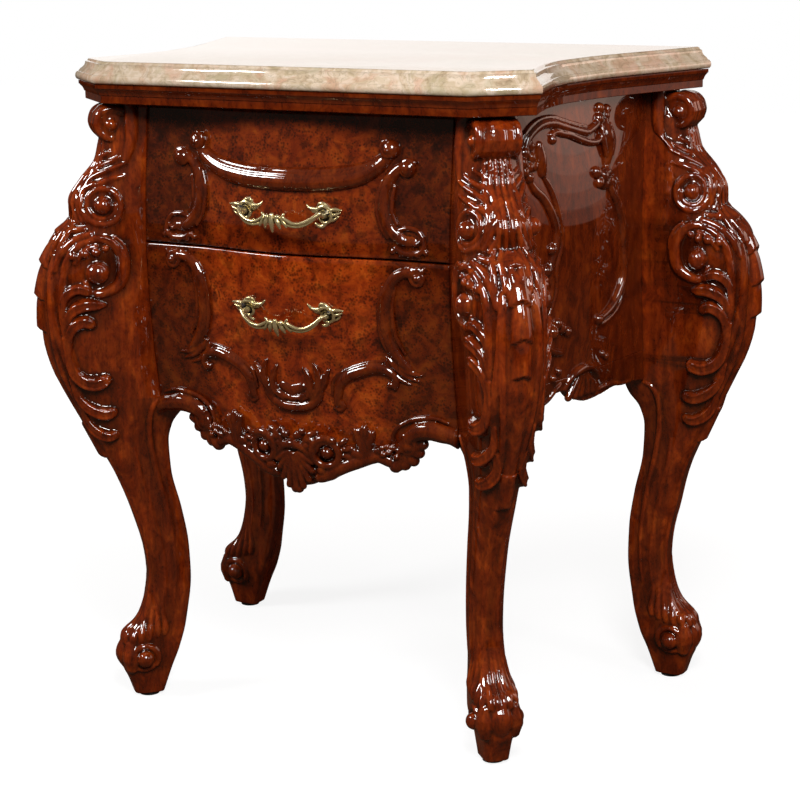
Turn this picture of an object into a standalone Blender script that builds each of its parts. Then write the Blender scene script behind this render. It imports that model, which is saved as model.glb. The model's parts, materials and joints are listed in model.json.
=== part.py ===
"""Carved bombé nightstand: marble top, four cabriole legs and two drawers.

Metres, +Z up. The front faces -Y, the floor is z = 0, and the origin is the middle of
the overall box on the floor. Each leg is drawn in its own reach/width/height axes, where
reach runs outwards from the middle of the foot.
"""
import math

import bpy
import bmesh
from mathutils import Vector

# Overall heights
TOTAL_HEIGHT = 0.690
MARBLE_THICKNESS = 0.022
CORNICE_HEIGHT = 0.020
UPPER_DRAWER_HEIGHT = 0.1427  # from the top of the legs to the line between the drawers
LOWER_DRAWER_HEIGHT = 0.170   # from that line to the lower end of the corner posts
FIT = 0.0003                  # gap between pieces that touch

# Drawer fronts
DRAWER_HALF = 0.1770
DRAWER_SIDE_GAP = 0.0012
DRAWER_TOP_GAP = 0.0015
DRAWER_SPLIT_GAP = 0.0020
FRONT_EDGE_Y = 0.157          # reach of the front at the top and bottom of its edges
FRONT_THICKNESS = 0.0223      # of the boards at those edges
FRONT_SWELL = 0.0155          # bombé swell of the edges, half way up
FRONT_BOW = 0.015             # extra bow in the middle of the front
FRONT_FLAT = 0.042            # margin beside the bow
SWELL_BELOW = 0.005           # the swell starts this far below the posts
SWELL_ABOVE = 0.0073          # and would end this far above them
APRON_ARCH_RISE = 0.002       # apron beside the legs, above the end of the posts
APRON_DEPTH = 0.075           # from there down to the tip of the apron shell
FRONT_COLUMNS = 30
FRONT_ROWS = 10

# Legs: middle of each foot, and the direction that the leg swells in
FRONT_LEG_ASIDE = 0.0328      # front foot, out from the drawer opening
FRONT_LEG_BEHIND = 0.003      # front foot, back from the edge of the front
FRONT_LEG_TURN = math.radians(-45)
LEG_SPAN = 0.308              # from the front feet back to the rear feet
REAR_FLARE = 0.067            # how much further out the rear feet stand
REAR_LEG_BACK = 0.016         # flat back of the rear legs, from their middle plane
LEG_CHAMFER = 0.007
LEG_POST_DEPTH = 0.050        # how far the post reaches inwards inside the case
LEG_STEPS = (7, 8, 9, 14)     # sections from floor to ankle, post, drawer line and top
KNEE_REACH = 0.101
KNEE_MARK = 2.62              # between the end of the post (2) and the drawer line (3)
ANKLE_HEIGHT = 0.135
PASSAGE_DROP = 0.010          # the drawers' passage runs on below the posts
GLIDE_HEIGHT = 0.003
GLIDE_RADIUS = 0.011
GLIDE_SIDES = 20

# Plan of the top, measured at the tip of the marble edge
TOP_FRONT_ASIDE = 0.002       # end of the straight front edge, out from the front feet
TOP_FRONT_LAP = 0.049         # front edge, forward of the front feet
TOP_CANT = 0.051              # run of the canted front corner, both ways
TOP_REAR_LAP = 0.031          # rear corner, out from the rear feet
TOP_BACK_LAP = 0.014          # back edge, behind the rear feet
TOP_SIDE_SAG = 0.022          # how far the concave side dips in
TOP_SIDE_STEPS = 12
MARBLE_EDGE = 0.0155          # width of the moulded edge

# Cornice under the marble, offsets measured in from the marble tip
CORNICE_FILLET_INSET = 0.006
CORNICE_FASCIA_INSET = 0.013
CORNICE_BACK_INSET = 0.003
CORNICE_WIDTH = 0.050
REBATE_WIDTH = 0.010
REBATE_DEPTH = 0.009

# Drawer boxes
BOX_SIDE_GAP = 0.012          # from the front's end to the outside of the box
BOX_WALL = 0.010
BOX_BACK_GAP = 0.020          # between the closed drawer and the back panel
BOX_BOTTOM = 0.005
BOX_BOTTOM_RISE = 0.008
BOX_TOP_GAP = 0.0085          # room above a drawer box
UPPER_BOX_RISE = 0.0145       # box above the lower edge of its front
LOWER_BOX_RISE = 0.0335       # box above the apron's arch

# Rails and runners
RAIL_DEPTH = 0.017
RAIL_HEIGHT = 0.014
RAIL_BELOW = 0.007            # rail below the drawer box that passes over it
RUNNER_HEIGHT = 0.020
RUNNER_SEAT = 0.016
GUIDE_HEIGHT = 0.012
RUNNER_CLEARANCE = 0.0005

# Side and back panels; reach is on the leg faces that the side panels run between
PANEL_REACH_FRONT = -0.018
PANEL_REACH_REAR = -0.024
PANEL_THICKNESS = 0.016
PANEL_SWELL = 0.012
APRON_SPLIT_RISE = 0.037      # joint of side panel and side apron, above the post's end
SIDE_APRON_DEPTH = 0.034
SIDE_PENDANT_DROP = 0.010
PANEL_COLUMNS = 11
PANEL_ROWS = 10
FRAME_TOP_MARGIN = 0.022      # side frame, below the top of the panel
FRAME_BOTTOM_MARGIN = 0.020   # side frame, above the side apron
FRAME_SIZE = 0.8              # side frame's moulding, against the drawer scrolls
FRAME_FIT = 0.0008            # the frame spans flat facets of the panel
BACK_PANEL_INSET = 0.016      # face of the back panel, forward of the rear feet
BACK_PANEL_THICKNESS = 0.010

# Brass pulls
HANDLE_HALF = 0.050           # from the middle to each screw
HANDLE_PROJECTION = 0.024
HANDLE_DROP = 0.0145
HANDLE_BAR = 0.0034
HANDLE_ROSE = 0.012
HANDLE_KNOT = 0.0062
HANDLE_SIDES = 8
HANDLE_FIT = 0.0008
UPPER_HANDLE_RISE = 0.044     # screws above the lower edge of the upper front
LOWER_HANDLE_DROP = 0.053     # screws below the upper edge of the lower front
SCREW_RADIUS = 0.0020
SCREW_HEAD_RADIUS = 0.0045
SCREW_HEAD_HEIGHT = 0.0025
SCREW_BITE = 0.0045           # length of thread inside the pull
SCREW_SIDES = 12

# Applied carving
SCROLL_WIDTH = 0.0078
SCROLL_RISE = 0.0085
APRON_CARVING_WIDTH = 0.0205
APRON_CARVING_RISE = 0.015
CARVING_RIM = 0.003           # bare edge of the apron below its carving
CARVING_FIT = 0.0004

# Heights and places that follow from these
LEG_TOP = TOTAL_HEIGHT - MARBLE_THICKNESS - CORNICE_HEIGHT - FIT
SPLIT_HEIGHT = LEG_TOP - UPPER_DRAWER_HEIGHT
POST_BOTTOM = SPLIT_HEIGHT - LOWER_DRAWER_HEIGHT
FRONT_SWELL_BOTTOM = POST_BOTTOM - SWELL_BELOW
FRONT_SWELL_TOP = LEG_TOP + SWELL_ABOVE
APRON_ARCH = POST_BOTTOM + APRON_ARCH_RISE
APRON_SPLIT = POST_BOTTOM + APRON_SPLIT_RISE
DRAWER_OPENING = DRAWER_HALF + DRAWER_SIDE_GAP
FRONT_BOW_HALF = DRAWER_HALF - FRONT_FLAT
FRONT_BACK_Y = FRONT_THICKNESS - FRONT_EDGE_Y
FRONT_LEG_X = DRAWER_OPENING + FRONT_LEG_ASIDE
FRONT_LEG_Y = FRONT_LEG_BEHIND - FRONT_EDGE_Y
REAR_LEG_X = FRONT_LEG_X + REAR_FLARE
REAR_LEG_Y = FRONT_LEG_Y + LEG_SPAN
TOP_FRONT_HALF = FRONT_LEG_X + TOP_FRONT_ASIDE
TOP_FRONT_Y = FRONT_LEG_Y - TOP_FRONT_LAP
TOP_REAR_HALF = REAR_LEG_X + TOP_REAR_LAP
TOP_BACK_Y = REAR_LEG_Y + TOP_BACK_LAP
BACK_PANEL_Y = REAR_LEG_Y - BACK_PANEL_INSET
UPPER_FRONT_TOP = LEG_TOP - DRAWER_TOP_GAP
UPPER_FRONT_BOTTOM = SPLIT_HEIGHT + DRAWER_SPLIT_GAP / 2
LOWER_FRONT_TOP = SPLIT_HEIGHT - DRAWER_SPLIT_GAP / 2
RAIL_FRONT_Y = FRONT_BACK_Y + FIT
RAIL_BACK_Y = RAIL_FRONT_Y + RAIL_DEPTH
BOX_HALF = DRAWER_HALF - BOX_SIDE_GAP
BOX_BACK_Y = BACK_PANEL_Y - BOX_BACK_GAP
UPPER_BOX_BOTTOM = UPPER_FRONT_BOTTOM + UPPER_BOX_RISE
LOWER_BOX_BOTTOM = APRON_ARCH + LOWER_BOX_RISE
DIVIDER_TOP = UPPER_BOX_BOTTOM - RAIL_BELOW
UPPER_RUNNER_BOTTOM = UPPER_BOX_BOTTOM - FIT - RUNNER_HEIGHT
UPPER_BOX_TOP = LEG_TOP - RAIL_HEIGHT - BOX_TOP_GAP
LOWER_BOX_TOP = min(DIVIDER_TOP - RAIL_HEIGHT, UPPER_RUNNER_BOTTOM) - BOX_TOP_GAP
UPPER_HANDLE_HEIGHT = UPPER_FRONT_BOTTOM + UPPER_HANDLE_RISE
LOWER_HANDLE_HEIGHT = LOWER_FRONT_TOP - LOWER_HANDLE_DROP


def remove_everything():
    for item in list(bpy.data.objects):
        bpy.data.objects.remove(item, do_unlink=True)


def finish_material(name, colour, roughness, metallic=0.0):
    material = bpy.data.materials.new(name)
    material.use_nodes = True
    shader = material.node_tree.nodes["Principled BSDF"]
    shader.inputs["Base Color"].default_value = (*colour, 1.0)
    shader.inputs["Roughness"].default_value = roughness
    shader.inputs["Metallic"].default_value = metallic
    return material


def add_solid(name, points, faces, material, parent, place=(0, 0, 0), turn=0.0):
    """A closed mesh object with its faces turned outwards, under its parent empty."""
    mesh = bpy.data.meshes.new(name)
    mesh.from_pydata([tuple(point) for point in points], [], faces)
    shell = bmesh.new()
    shell.from_mesh(mesh)
    bmesh.ops.recalc_face_normals(shell, faces=shell.faces)
    if shell.calc_volume(signed=True) < 0:
        bmesh.ops.reverse_faces(shell, faces=shell.faces)
    shell.to_mesh(mesh)
    shell.free()
    mesh.shade_smooth()
    mesh.set_sharp_from_angle(angle=math.radians(35))
    mesh.materials.append(material)
    item = bpy.data.objects.new(name, mesh)
    bpy.context.collection.objects.link(item)
    item.location = place
    item.rotation_euler = (0, 0, turn)
    item.parent = parent
    return item


def add_empty(name, parent=None, place=(0, 0, 0)):
    empty = bpy.data.objects.new(name, None)
    bpy.context.collection.objects.link(empty)
    empty.location = place
    empty.parent = parent
    return empty


def loft(rings, closed=False):
    """Points and faces of a skin over equal rings, capped unless the path is closed."""
    count = len(rings[0])
    points = [point for ring in rings for point in ring]
    faces = []
    spans = len(rings) if closed else len(rings) - 1
    for row in range(spans):
        here = row * count
        there = ((row + 1) % len(rings)) * count
        for step in range(count):
            after = (step + 1) % count
            faces.append((here + step, here + after, there + after, there + step))
    if not closed:
        faces.append(tuple(range(count)))
        faces.append(tuple(range(len(points) - count, len(points))))
    return points, faces


def slab(outer, inner):
    """Points and faces of a board between two equal grids of points."""
    rows, columns = len(outer), len(outer[0])
    points = [point for grid in (outer, inner) for row in grid for point in row]
    behind = rows * columns
    faces = []
    for row in range(rows - 1):
        for column in range(columns - 1):
            here = row * columns + column
            quad = (here, here + 1, here + columns + 1, here + columns)
            faces.append(quad)
            faces.append(tuple(index + behind for index in reversed(quad)))
    rim = [column for column in range(columns)]
    rim += [row * columns + columns - 1 for row in range(1, rows)]
    rim += [(rows - 1) * columns + column for column in range(columns - 2, -1, -1)]
    rim += [row * columns for row in range(rows - 2, 0, -1)]
    for here, after in zip(rim, rim[1:] + rim[:1]):
        faces.append((here, here + behind, after + behind, after))
    return points, faces


def box(name, low, high, material, parent):
    middle = [(a + b) / 2 for a, b in zip(low, high)]
    half = [(b - a) / 2 for a, b in zip(low, high)]
    square = [(-1, -1), (1, -1), (1, 1), (-1, 1)]
    rings = [[(half[0] * a, half[1] * b, half[2] * side) for a, b in square] for side in (-1, 1)]
    return add_solid(name, *loft(rings), material, parent, place=middle)


def prism_y(name, outline, y_front, y_back, material, parent):
    """An outline in X and Z, carried along Y."""
    rings = [[(x, y, z) for x, z in outline] for y in (y_front, y_back)]
    return add_solid(name, *loft(rings), material, parent)


def cylinder_rings(stations, sides):
    """Rings round the Y axis from (y, radius) stations."""
    rings = []
    for y, radius in stations:
        angles = [2 * math.pi * step / sides for step in range(sides)]
        rings.append([(radius * math.cos(a), y, radius * math.sin(a)) for a in angles])
    return rings


def cut_away(item, cutter):
    cutter.hide_render = True
    cutter.display_type = "WIRE"
    boolean = item.modifiers.new("cut", "BOOLEAN")
    boolean.operation = "DIFFERENCE"
    boolean.solver = "EXACT"
    boolean.object = cutter


def smooth_value(knots, place):
    """A monotone cubic through (place, value) knots, flat at its turning points."""
    if place <= knots[0][0]:
        return knots[0][1]
    if place >= knots[-1][0]:
        return knots[-1][1]
    slopes = [(b[1] - a[1]) / (b[0] - a[0]) for a, b in zip(knots, knots[1:])]
    tangents = [slopes[0]]
    for before, after in zip(slopes, slopes[1:]):
        tangents.append(0.0 if before * after <= 0 else 2 * before * after / (before + after))
    tangents.append(slopes[-1])
    for index in range(len(knots) - 1):
        (x0, y0), (x1, y1) = knots[index], knots[index + 1]
        if place <= x1:
            run = x1 - x0
            t = (place - x0) / run
            rise = t * t * (3 - 2 * t)
            lead = t * (1 - t) * (1 - t) * tangents[index]
            tail = t * t * (t - 1) * tangents[index + 1]
            return y0 + (y1 - y0) * rise + run * (lead + tail)


def smooth_path(points, steps):
    """A Catmull-Rom curve through points of any dimension, steps to each span."""
    ends = [points[0]] + list(points) + [points[-1]]
    curve = []
    for a, b, c, d in zip(ends, ends[1:], ends[2:], ends[3:]):
        for step in range(steps):
            t = step / steps
            curve.append(tuple(
                0.5 * (2 * q + (r - p) * t + (2 * p - 5 * q + 4 * r - s) * t * t
                       + (3 * q - p - 3 * r + s) * t ** 3)
                for p, q, r, s in zip(a, b, c, d)))
    curve.append(tuple(points[-1]))
    return curve


# Shapes that several pieces share

def edge_reach(z):
    """How far the drawer edges and the leg faces beside them stand forward at a height."""
    share = (z - FRONT_SWELL_BOTTOM) / (FRONT_SWELL_TOP - FRONT_SWELL_BOTTOM)
    if share < 0:
        return FRONT_EDGE_Y + FRONT_SWELL * math.pi * share
    return FRONT_EDGE_Y + FRONT_SWELL * math.sin(math.pi * share)


def front_y(x, z):
    """The bombé face of the drawers."""
    bow = 0.0
    if abs(x) < FRONT_BOW_HALF:
        bow = FRONT_BOW * 0.5 * (1 + math.cos(math.pi * x / FRONT_BOW_HALF))
    return -(edge_reach(z) + bow)


def face_width(z):
    """Half thickness of a leg where its plain face meets the drawer edge flush."""
    aside = DRAWER_OPENING - FRONT_LEG_X
    ahead = edge_reach(z) + FRONT_LEG_Y
    return aside * math.sin(FRONT_LEG_TURN) + ahead * math.cos(FRONT_LEG_TURN)


def apron_bottom(x):
    """Lower edge of the lower drawer: a shell tip, a lobe and an arch on each side.

    The knots are shares of the half front and of the apron's depth.
    """
    knots = [(0.0, 1.0), (0.08, 0.95), (0.19, 0.73), (0.35, 0.61), (0.44, 0.52), (0.53, 0.573),
             (0.62, 0.573), (0.70, 0.427), (0.78, 0.133), (0.89, 0.0), (1.0, 0.027)]
    return APRON_ARCH - APRON_DEPTH * smooth_value(knots, abs(x) / DRAWER_HALF)


def top_corners():
    """Corners of the marble tip in plan, anticlockwise from the right end of the front."""
    shoulder = (TOP_FRONT_HALF + TOP_CANT, TOP_FRONT_Y + TOP_CANT)
    right = [(TOP_FRONT_HALF, TOP_FRONT_Y), shoulder, (TOP_REAR_HALF, TOP_BACK_Y)]
    return right + [(-x, y) for x, y in reversed(right)]


def top_outline(inset, back_inset):
    """The top in plan, moved in by inset and along its back by back_inset, sides hollowed."""
    corners = [Vector(corner) for corner in top_corners()]
    count = len(corners)
    lines = []
    for index, corner in enumerate(corners):
        along = (corners[(index + 1) % count] - corner).normalized()
        inward = Vector((-along.y, along.x))
        at_back = index == count // 2 - 1
        lines.append((corner + inward * (back_inset if at_back else inset), along))
    moved = []
    for index in range(count):
        (p, along), (q, onward) = lines[index - 1], lines[index]
        gap = q - p
        cross = along.x * onward.y - along.y * onward.x
        moved.append(p + along * ((gap.x * onward.y - gap.y * onward.x) / cross))
    front, shoulder, rear = moved[:3]
    right = [tuple(front)]
    for step in range(TOP_SIDE_STEPS + 1):
        t = step / TOP_SIDE_STEPS
        x, y = shoulder + (rear - shoulder) * t
        right.append((x - TOP_SIDE_SAG * 4 * t * (1 - t), y))
    return right + [(-x, y) for x, y in reversed(right)]


# Marble slab and cornice

def marble_top(material, parent):
    """The profile is in shares of the moulded edge's width and of the slab's thickness."""
    bottom = TOTAL_HEIGHT - MARBLE_THICKNESS
    profile = [(0.39, 0.0), (0.08, 0.064), (0.0, 0.19), (0.065, 0.33), (0.23, 0.445), (0.465, 0.555),
               (0.645, 0.69), (0.735, 0.864), (0.90, 0.89), (1.0, 1.0)]
    rings = []
    for inset, rise in profile:
        outline = top_outline(MARBLE_EDGE * inset, 0.0)
        rings.append([(x, y, bottom + MARBLE_THICKNESS * rise) for x, y in outline])
    return add_solid("marble_top", *loft(rings), material, parent)


def cornice_back_inset(inset):
    """The back of the cornice lies close under the back of the marble."""
    return inset - CORNICE_FILLET_INSET + CORNICE_BACK_INSET


def cornice(material, parent):
    """Four mitred lengths: the front one takes in both canted corners."""
    bottom = LEG_TOP + FIT
    top = CORNICE_HEIGHT - FIT
    rebate = CORNICE_WIDTH - REBATE_WIDTH
    cove = CORNICE_FASCIA_INSET - CORNICE_FILLET_INSET
    profile = [(CORNICE_WIDTH, 0.0), (CORNICE_FASCIA_INSET, 0.0), (CORNICE_FASCIA_INSET, 0.33 * top),
               (CORNICE_FILLET_INSET + 0.75 * cove, 0.48 * top),
               (CORNICE_FILLET_INSET + 0.14 * cove, 0.66 * top),
               (CORNICE_FILLET_INSET, 0.74 * top), (CORNICE_FILLET_INSET, top),
               (rebate, top), (rebate, top - REBATE_DEPTH), (CORNICE_WIDTH, top - REBATE_DEPTH)]
    rings = []
    for inset, rise in profile:
        outline = top_outline(inset, cornice_back_inset(inset))
        rings.append([Vector((x, y, bottom + rise)) for x, y in outline])
    last = len(rings[0]) - 1
    rear_right = TOP_SIDE_STEPS + 1
    runs = {
        "cornice_right": list(range(1, rear_right + 1)),
        "cornice_back": [rear_right, rear_right + 1],
        "cornice_left": list(range(rear_right + 1, last)),
        "cornice_front": [last - 1, last, 0, 1],
    }
    for name, stations in runs.items():
        sections = [[ring[index] for ring in rings] for index in stations]
        for end, inner in ((0, 1), (-1, -2)):
            steps = [inside - outside for outside, inside in zip(sections[end], sections[inner])]
            sections[end] = [point + step.normalized() * FIT
                             for point, step in zip(sections[end], steps)]
        add_solid(name, *loft(sections), material, parent)


def sub_top(material, parent):
    inset = CORNICE_WIDTH - REBATE_WIDTH + FIT
    outline = top_outline(inset, cornice_back_inset(inset))
    top = LEG_TOP + CORNICE_HEIGHT
    levels = (top - REBATE_DEPTH + FIT, top)
    rings = [[(x, y, z) for x, y in outline] for z in levels]
    return add_solid("sub_top", *loft(rings), material, parent)


# Legs

def leg_height(mark):
    """Height of a mark: 0 glide, 1 ankle, 2 end of the post, 3 drawer line, 4 top."""
    levels = (GLIDE_HEIGHT, ANKLE_HEIGHT, POST_BOTTOM, SPLIT_HEIGHT, LEG_TOP)
    zone = min(int(mark), len(levels) - 2)
    return levels[zone] + (levels[zone + 1] - levels[zone]) * (mark - zone)


def along_leg(knots, z):
    """A smooth value at a height, through (mark, value) knots."""
    return smooth_value([(leg_height(mark), value) for mark, value in knots], z)


def leg_outer(z):
    """Reach of the carved edge: foot, shank, knee leaf, notch, volute, waist and scroll."""
    return along_leg([
        (0, 0.0165), (0.144, 0.0225), (0.326, 0.0350), (0.477, 0.0335), (0.667, 0.0120), (1, -0.0020),
        (1.125, -0.0010), (1.355, 0.0100), (1.695, 0.0405), (1.775, 0.0500), (1.85, 0.0560),
        (1.915, 0.0580), (2.07, 0.0735), (2.23, 0.0850), (2.41, KNEE_REACH - 0.006),
        (KNEE_MARK, KNEE_REACH), (2.79, KNEE_REACH - 0.003), (2.91, KNEE_REACH - 0.011),
        (3.02, KNEE_REACH - 0.021), (3.085, 0.0570), (3.155, 0.0625), (3.275, 0.0600),
        (3.43, 0.0480), (3.57, 0.0330), (3.71, 0.0240), (3.79, 0.0290), (3.86, 0.0330),
        (3.945, 0.0290), (4, 0.0270)], z)


def leg_inner(z):
    """Reach of the back of the leg, negative because it lies inside the foot's middle."""
    return along_leg([
        (0, -0.0165), (0.235, -0.0280), (0.621, -0.0440), (1, -0.0510), (1.16, -0.0500),
        (1.36, -0.0440), (1.59, -0.0340), (1.75, -0.0320), (1.85, -0.0360), (1.935, -0.0470),
        (2, -LEG_POST_DEPTH)], z)


def leg_width(z):
    """Half thickness of the plain leg, from the foot up to the bombé post."""
    if z >= POST_BOTTOM:
        return face_width(z)
    return along_leg([
        (0, 0.0160), (0.205, 0.0200), (0.394, 0.0230), (0.659, 0.0205), (1, 0.0190), (1.325, 0.0200),
        (1.725, 0.0225), (1.915, 0.0250), (2, face_width(POST_BOTTOM))], z)


def carving_rise(z):
    """How far the carving stands off the plain faces."""
    return along_leg([
        (0.144, 0.0010), (0.341, 0.0070), (0.477, 0.0050), (0.659, 0.0), (1.675, 0.0), (1.875, 0.0040),
        (2.15, 0.0075), (KNEE_MARK, 0.0095), (2.97, 0.0075), (3.085, 0.0030), (3.245, 0.0075),
        (3.49, 0.0045), (3.71, 0.0020), (3.845, 0.0060), (4, 0.0050)], z)


def carving_start(z):
    """Reach at which the carving begins on the plain faces."""
    return along_leg([
        (0, 0.0), (0.326, 0.0060), (0.659, -0.0080), (1, -0.0160), (1.355, -0.0060), (1.695, 0.0180),
        (1.915, 0.0140), (2.15, 0.0230), (2.5, 0.0420), (2.78, 0.0180), (2.97, 0.0240),
        (3.085, 0.0120), (3.245, -0.0060), (3.49, 0.0), (3.71, 0.0020), (3.845, -0.0100),
        (4, -0.0080)], z)


def leg_rings(flat_back, side):
    """Twelve-point sections; side is 1 on the right of the object and -1 on the left."""
    marks = [zone + step / steps for zone, steps in enumerate(LEG_STEPS) for step in range(steps)]
    heights = [leg_height(mark) for mark in marks[1:]]
    rings = []
    for z in [GLIDE_HEIGHT + FIT] + heights + [LEG_TOP]:
        inner, outer = leg_inner(z), leg_outer(z)
        width, rise = leg_width(z), carving_rise(z)
        start = max(carving_start(z), inner + 2 * LEG_CHAMFER)
        start = min(start, outer - 3 * LEG_CHAMFER)
        step = start + LEG_CHAMFER * 0.6
        nose = outer - (outer - step) * 0.35
        half = [(inner, width - LEG_CHAMFER), (inner + LEG_CHAMFER, width), (start, width),
                (step, width + rise), (nose, (width + rise) * 0.82), (outer, width * 0.36)]
        plain = [(reach, min(across, REAR_LEG_BACK)) for reach, across in half]
        hidden = plain if flat_back else half
        ring = [(reach, -side * across, z) for reach, across in half]
        ring += [(reach, side * across, z) for reach, across in reversed(hidden)]
        rings.append(ring)
    return rings


def legs(material, parent):
    opening = box("drawer_passage", (-DRAWER_OPENING, TOP_FRONT_Y * 2, POST_BOTTOM - PASSAGE_DROP),
                  (DRAWER_OPENING, TOP_BACK_Y, TOTAL_HEIGHT), material, parent)
    for side, hand in ((-1, "left"), (1, "right")):
        turn = FRONT_LEG_TURN if side > 0 else math.pi - FRONT_LEG_TURN
        front = add_solid("leg_front_" + hand, *loft(leg_rings(False, side)), material, parent,
                          place=(side * FRONT_LEG_X, FRONT_LEG_Y, 0), turn=turn)
        cut_away(front, opening)
        turn = 0.0 if side > 0 else math.pi
        add_solid("leg_rear_" + hand, *loft(leg_rings(True, side)), material, parent,
                  place=(side * REAR_LEG_X, REAR_LEG_Y, 0), turn=turn)


def foot_glides(material, parent):
    places = {"front": (FRONT_LEG_X, FRONT_LEG_Y), "rear": (REAR_LEG_X, REAR_LEG_Y)}
    angles = [2 * math.pi * step / GLIDE_SIDES for step in range(GLIDE_SIDES)]
    disc = [(GLIDE_RADIUS * math.cos(a), GLIDE_RADIUS * math.sin(a)) for a in angles]
    rings = [[(x, y, z) for x, y in disc] for z in (0.0, GLIDE_HEIGHT)]
    for end, (x, y) in places.items():
        for side, hand in ((-1, "left"), (1, "right")):
            add_solid("foot_glide_%s_%s" % (end, hand), *loft(rings), material, parent,
                      place=(side * x, y, 0))


# Sides and back

def panel_ends(z, depth):
    """Ends of the right side panel at a height: on the front leg's face and the rear leg's."""
    width = leg_width(z) + FIT
    reach = PANEL_REACH_FRONT - depth
    along, across = math.cos(FRONT_LEG_TURN), math.sin(FRONT_LEG_TURN)
    front = (FRONT_LEG_X + reach * along - width * across,
             FRONT_LEG_Y + reach * across + width * along)
    rear = (REAR_LEG_X + PANEL_REACH_REAR - depth, REAR_LEG_Y - width)
    return front, rear


def panel_point(share, z, depth):
    """A point of the right side panel, share running from the front leg to the rear leg."""
    front, rear = panel_ends(z, depth)
    lift = (z - FRONT_SWELL_BOTTOM) / (FRONT_SWELL_TOP - FRONT_SWELL_BOTTOM)
    swell = PANEL_SWELL * math.sin(math.pi * min(max(lift, 0), 1)) * 4 * share * (1 - share)
    return (front[0] + (rear[0] - front[0]) * share + swell,
            front[1] + (rear[1] - front[1]) * share, z)


def side_board(name, side, low, high, rows, material, parent):
    """A bombé board between a front and a rear leg; low gives its bottom edge."""
    grids = []
    for depth in (0.0, PANEL_THICKNESS):
        grid = []
        for column in range(PANEL_COLUMNS + 1):
            share = column / PANEL_COLUMNS
            bottom = low(share)
            heights = [bottom + (high - bottom) * row / rows for row in range(rows + 1)]
            grid.append([panel_point(share, z, depth) for z in heights])
        grids.append([[(side * x, y, z) for x, y, z in line] for line in grid])
    return add_solid(name, *slab(*grids), material, parent)


def side_apron_bottom(share):
    """Lower edge of a side: arches by the legs and a pendant past the middle."""
    rim = APRON_SPLIT - SIDE_APRON_DEPTH
    knots = [(0.0, 0.06), (0.14, 0.35), (0.34, 0.59), (0.44, 0.18), (0.55, 0.29), (0.66, 0.12),
             (0.76, 0.29), (0.90, 0.18), (1.0, 0.0)]
    heights = [(place, rim + SIDE_APRON_DEPTH * lift) for place, lift in knots]
    pendant = len(knots) // 2
    heights[pendant] = (heights[pendant][0], heights[pendant][1] - SIDE_PENDANT_DROP)
    return smooth_value(heights, share)


def sides(material, parent):
    top = LEG_TOP - FIT
    for side, hand in ((-1, "left"), (1, "right")):
        side_board("side_panel_" + hand, side, lambda share: APRON_SPLIT, top, PANEL_ROWS,
                   material, parent)
        side_board("side_apron_" + hand, side, side_apron_bottom, APRON_SPLIT - FIT, 2,
                   material, parent)


def side_frames(material, parent):
    """The vase-shaped moulding on each side panel, one closed run of half-round.

    Its knots are shares of the panel's length and of the frame's own height, from the top.
    """
    top = LEG_TOP - FRAME_TOP_MARGIN
    tall = top - (APRON_SPLIT + FRAME_BOTTOM_MARGIN)
    half = [(0.50, 0.043), (0.38, 0.009), (0.24, 0.017), (0.17, 0.128), (0.22, 0.29), (0.27, 0.47),
            (0.22, 0.684), (0.16, 0.833), (0.20, 0.957), (0.34, 1.0), (0.50, 0.974)]
    knots = half + [(1 - share, fall) for share, fall in reversed(half[1:-1])] + half[:1]
    path = smooth_path([(share, top - tall * fall) for share, fall in knots], 2)[:-1]
    span = panel_length()
    section = half_round(SCROLL_WIDTH * FRAME_SIZE, SCROLL_RISE * FRAME_SIZE)
    for side, hand in ((-1, "left"), (1, "right")):
        rings = []
        for index, (share, z) in enumerate(path):
            ahead, behind = path[(index + 1) % len(path)], path[index - 1]
            run = Vector(((ahead[0] - behind[0]) * span, ahead[1] - behind[1])).normalized()
            ring = []
            for across, rise in section:
                point = panel_point(share - run.y * across / span, z + run.x * across, 0.0)
                ring.append((side * (point[0] + FRAME_FIT + rise), point[1], point[2]))
            rings.append(ring)
        add_solid("side_frame_" + hand, *loft(rings, closed=True), material, parent)


def panel_length():
    front, rear = panel_ends(SPLIT_HEIGHT, 0.0)
    return math.dist(front, rear)


def half_round(width, rise):
    """Section of applied carving: (across, rise) with a flat back."""
    arc = [(-math.cos(a), math.sin(a)) for a in (math.pi * step / 4 for step in range(5))]
    back = [(width, 0.0), (0.0, 0.0), (-width, 0.0)]
    return [(width * a, rise * b + rise * 0.12) for a, b in arc] + back


def back_panel(material, parent):
    half = REAR_LEG_X - LEG_POST_DEPTH - FIT
    low = (-half, BACK_PANEL_Y, APRON_SPLIT - SIDE_APRON_DEPTH)
    high = (half, BACK_PANEL_Y + BACK_PANEL_THICKNESS, LEG_TOP)
    box("back_panel", low, high, material, parent)


# Rails and runners inside the case

def rails(material, parent):
    half = DRAWER_OPENING - FIT
    tops = {"top_rail": LEG_TOP, "divider_rail": DIVIDER_TOP,
            "bottom_rail": LOWER_BOX_BOTTOM - RAIL_BELOW}
    for name, top in tops.items():
        box(name, (-half, RAIL_FRONT_Y, top - RAIL_HEIGHT), (half, RAIL_BACK_Y, top), material, parent)


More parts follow.
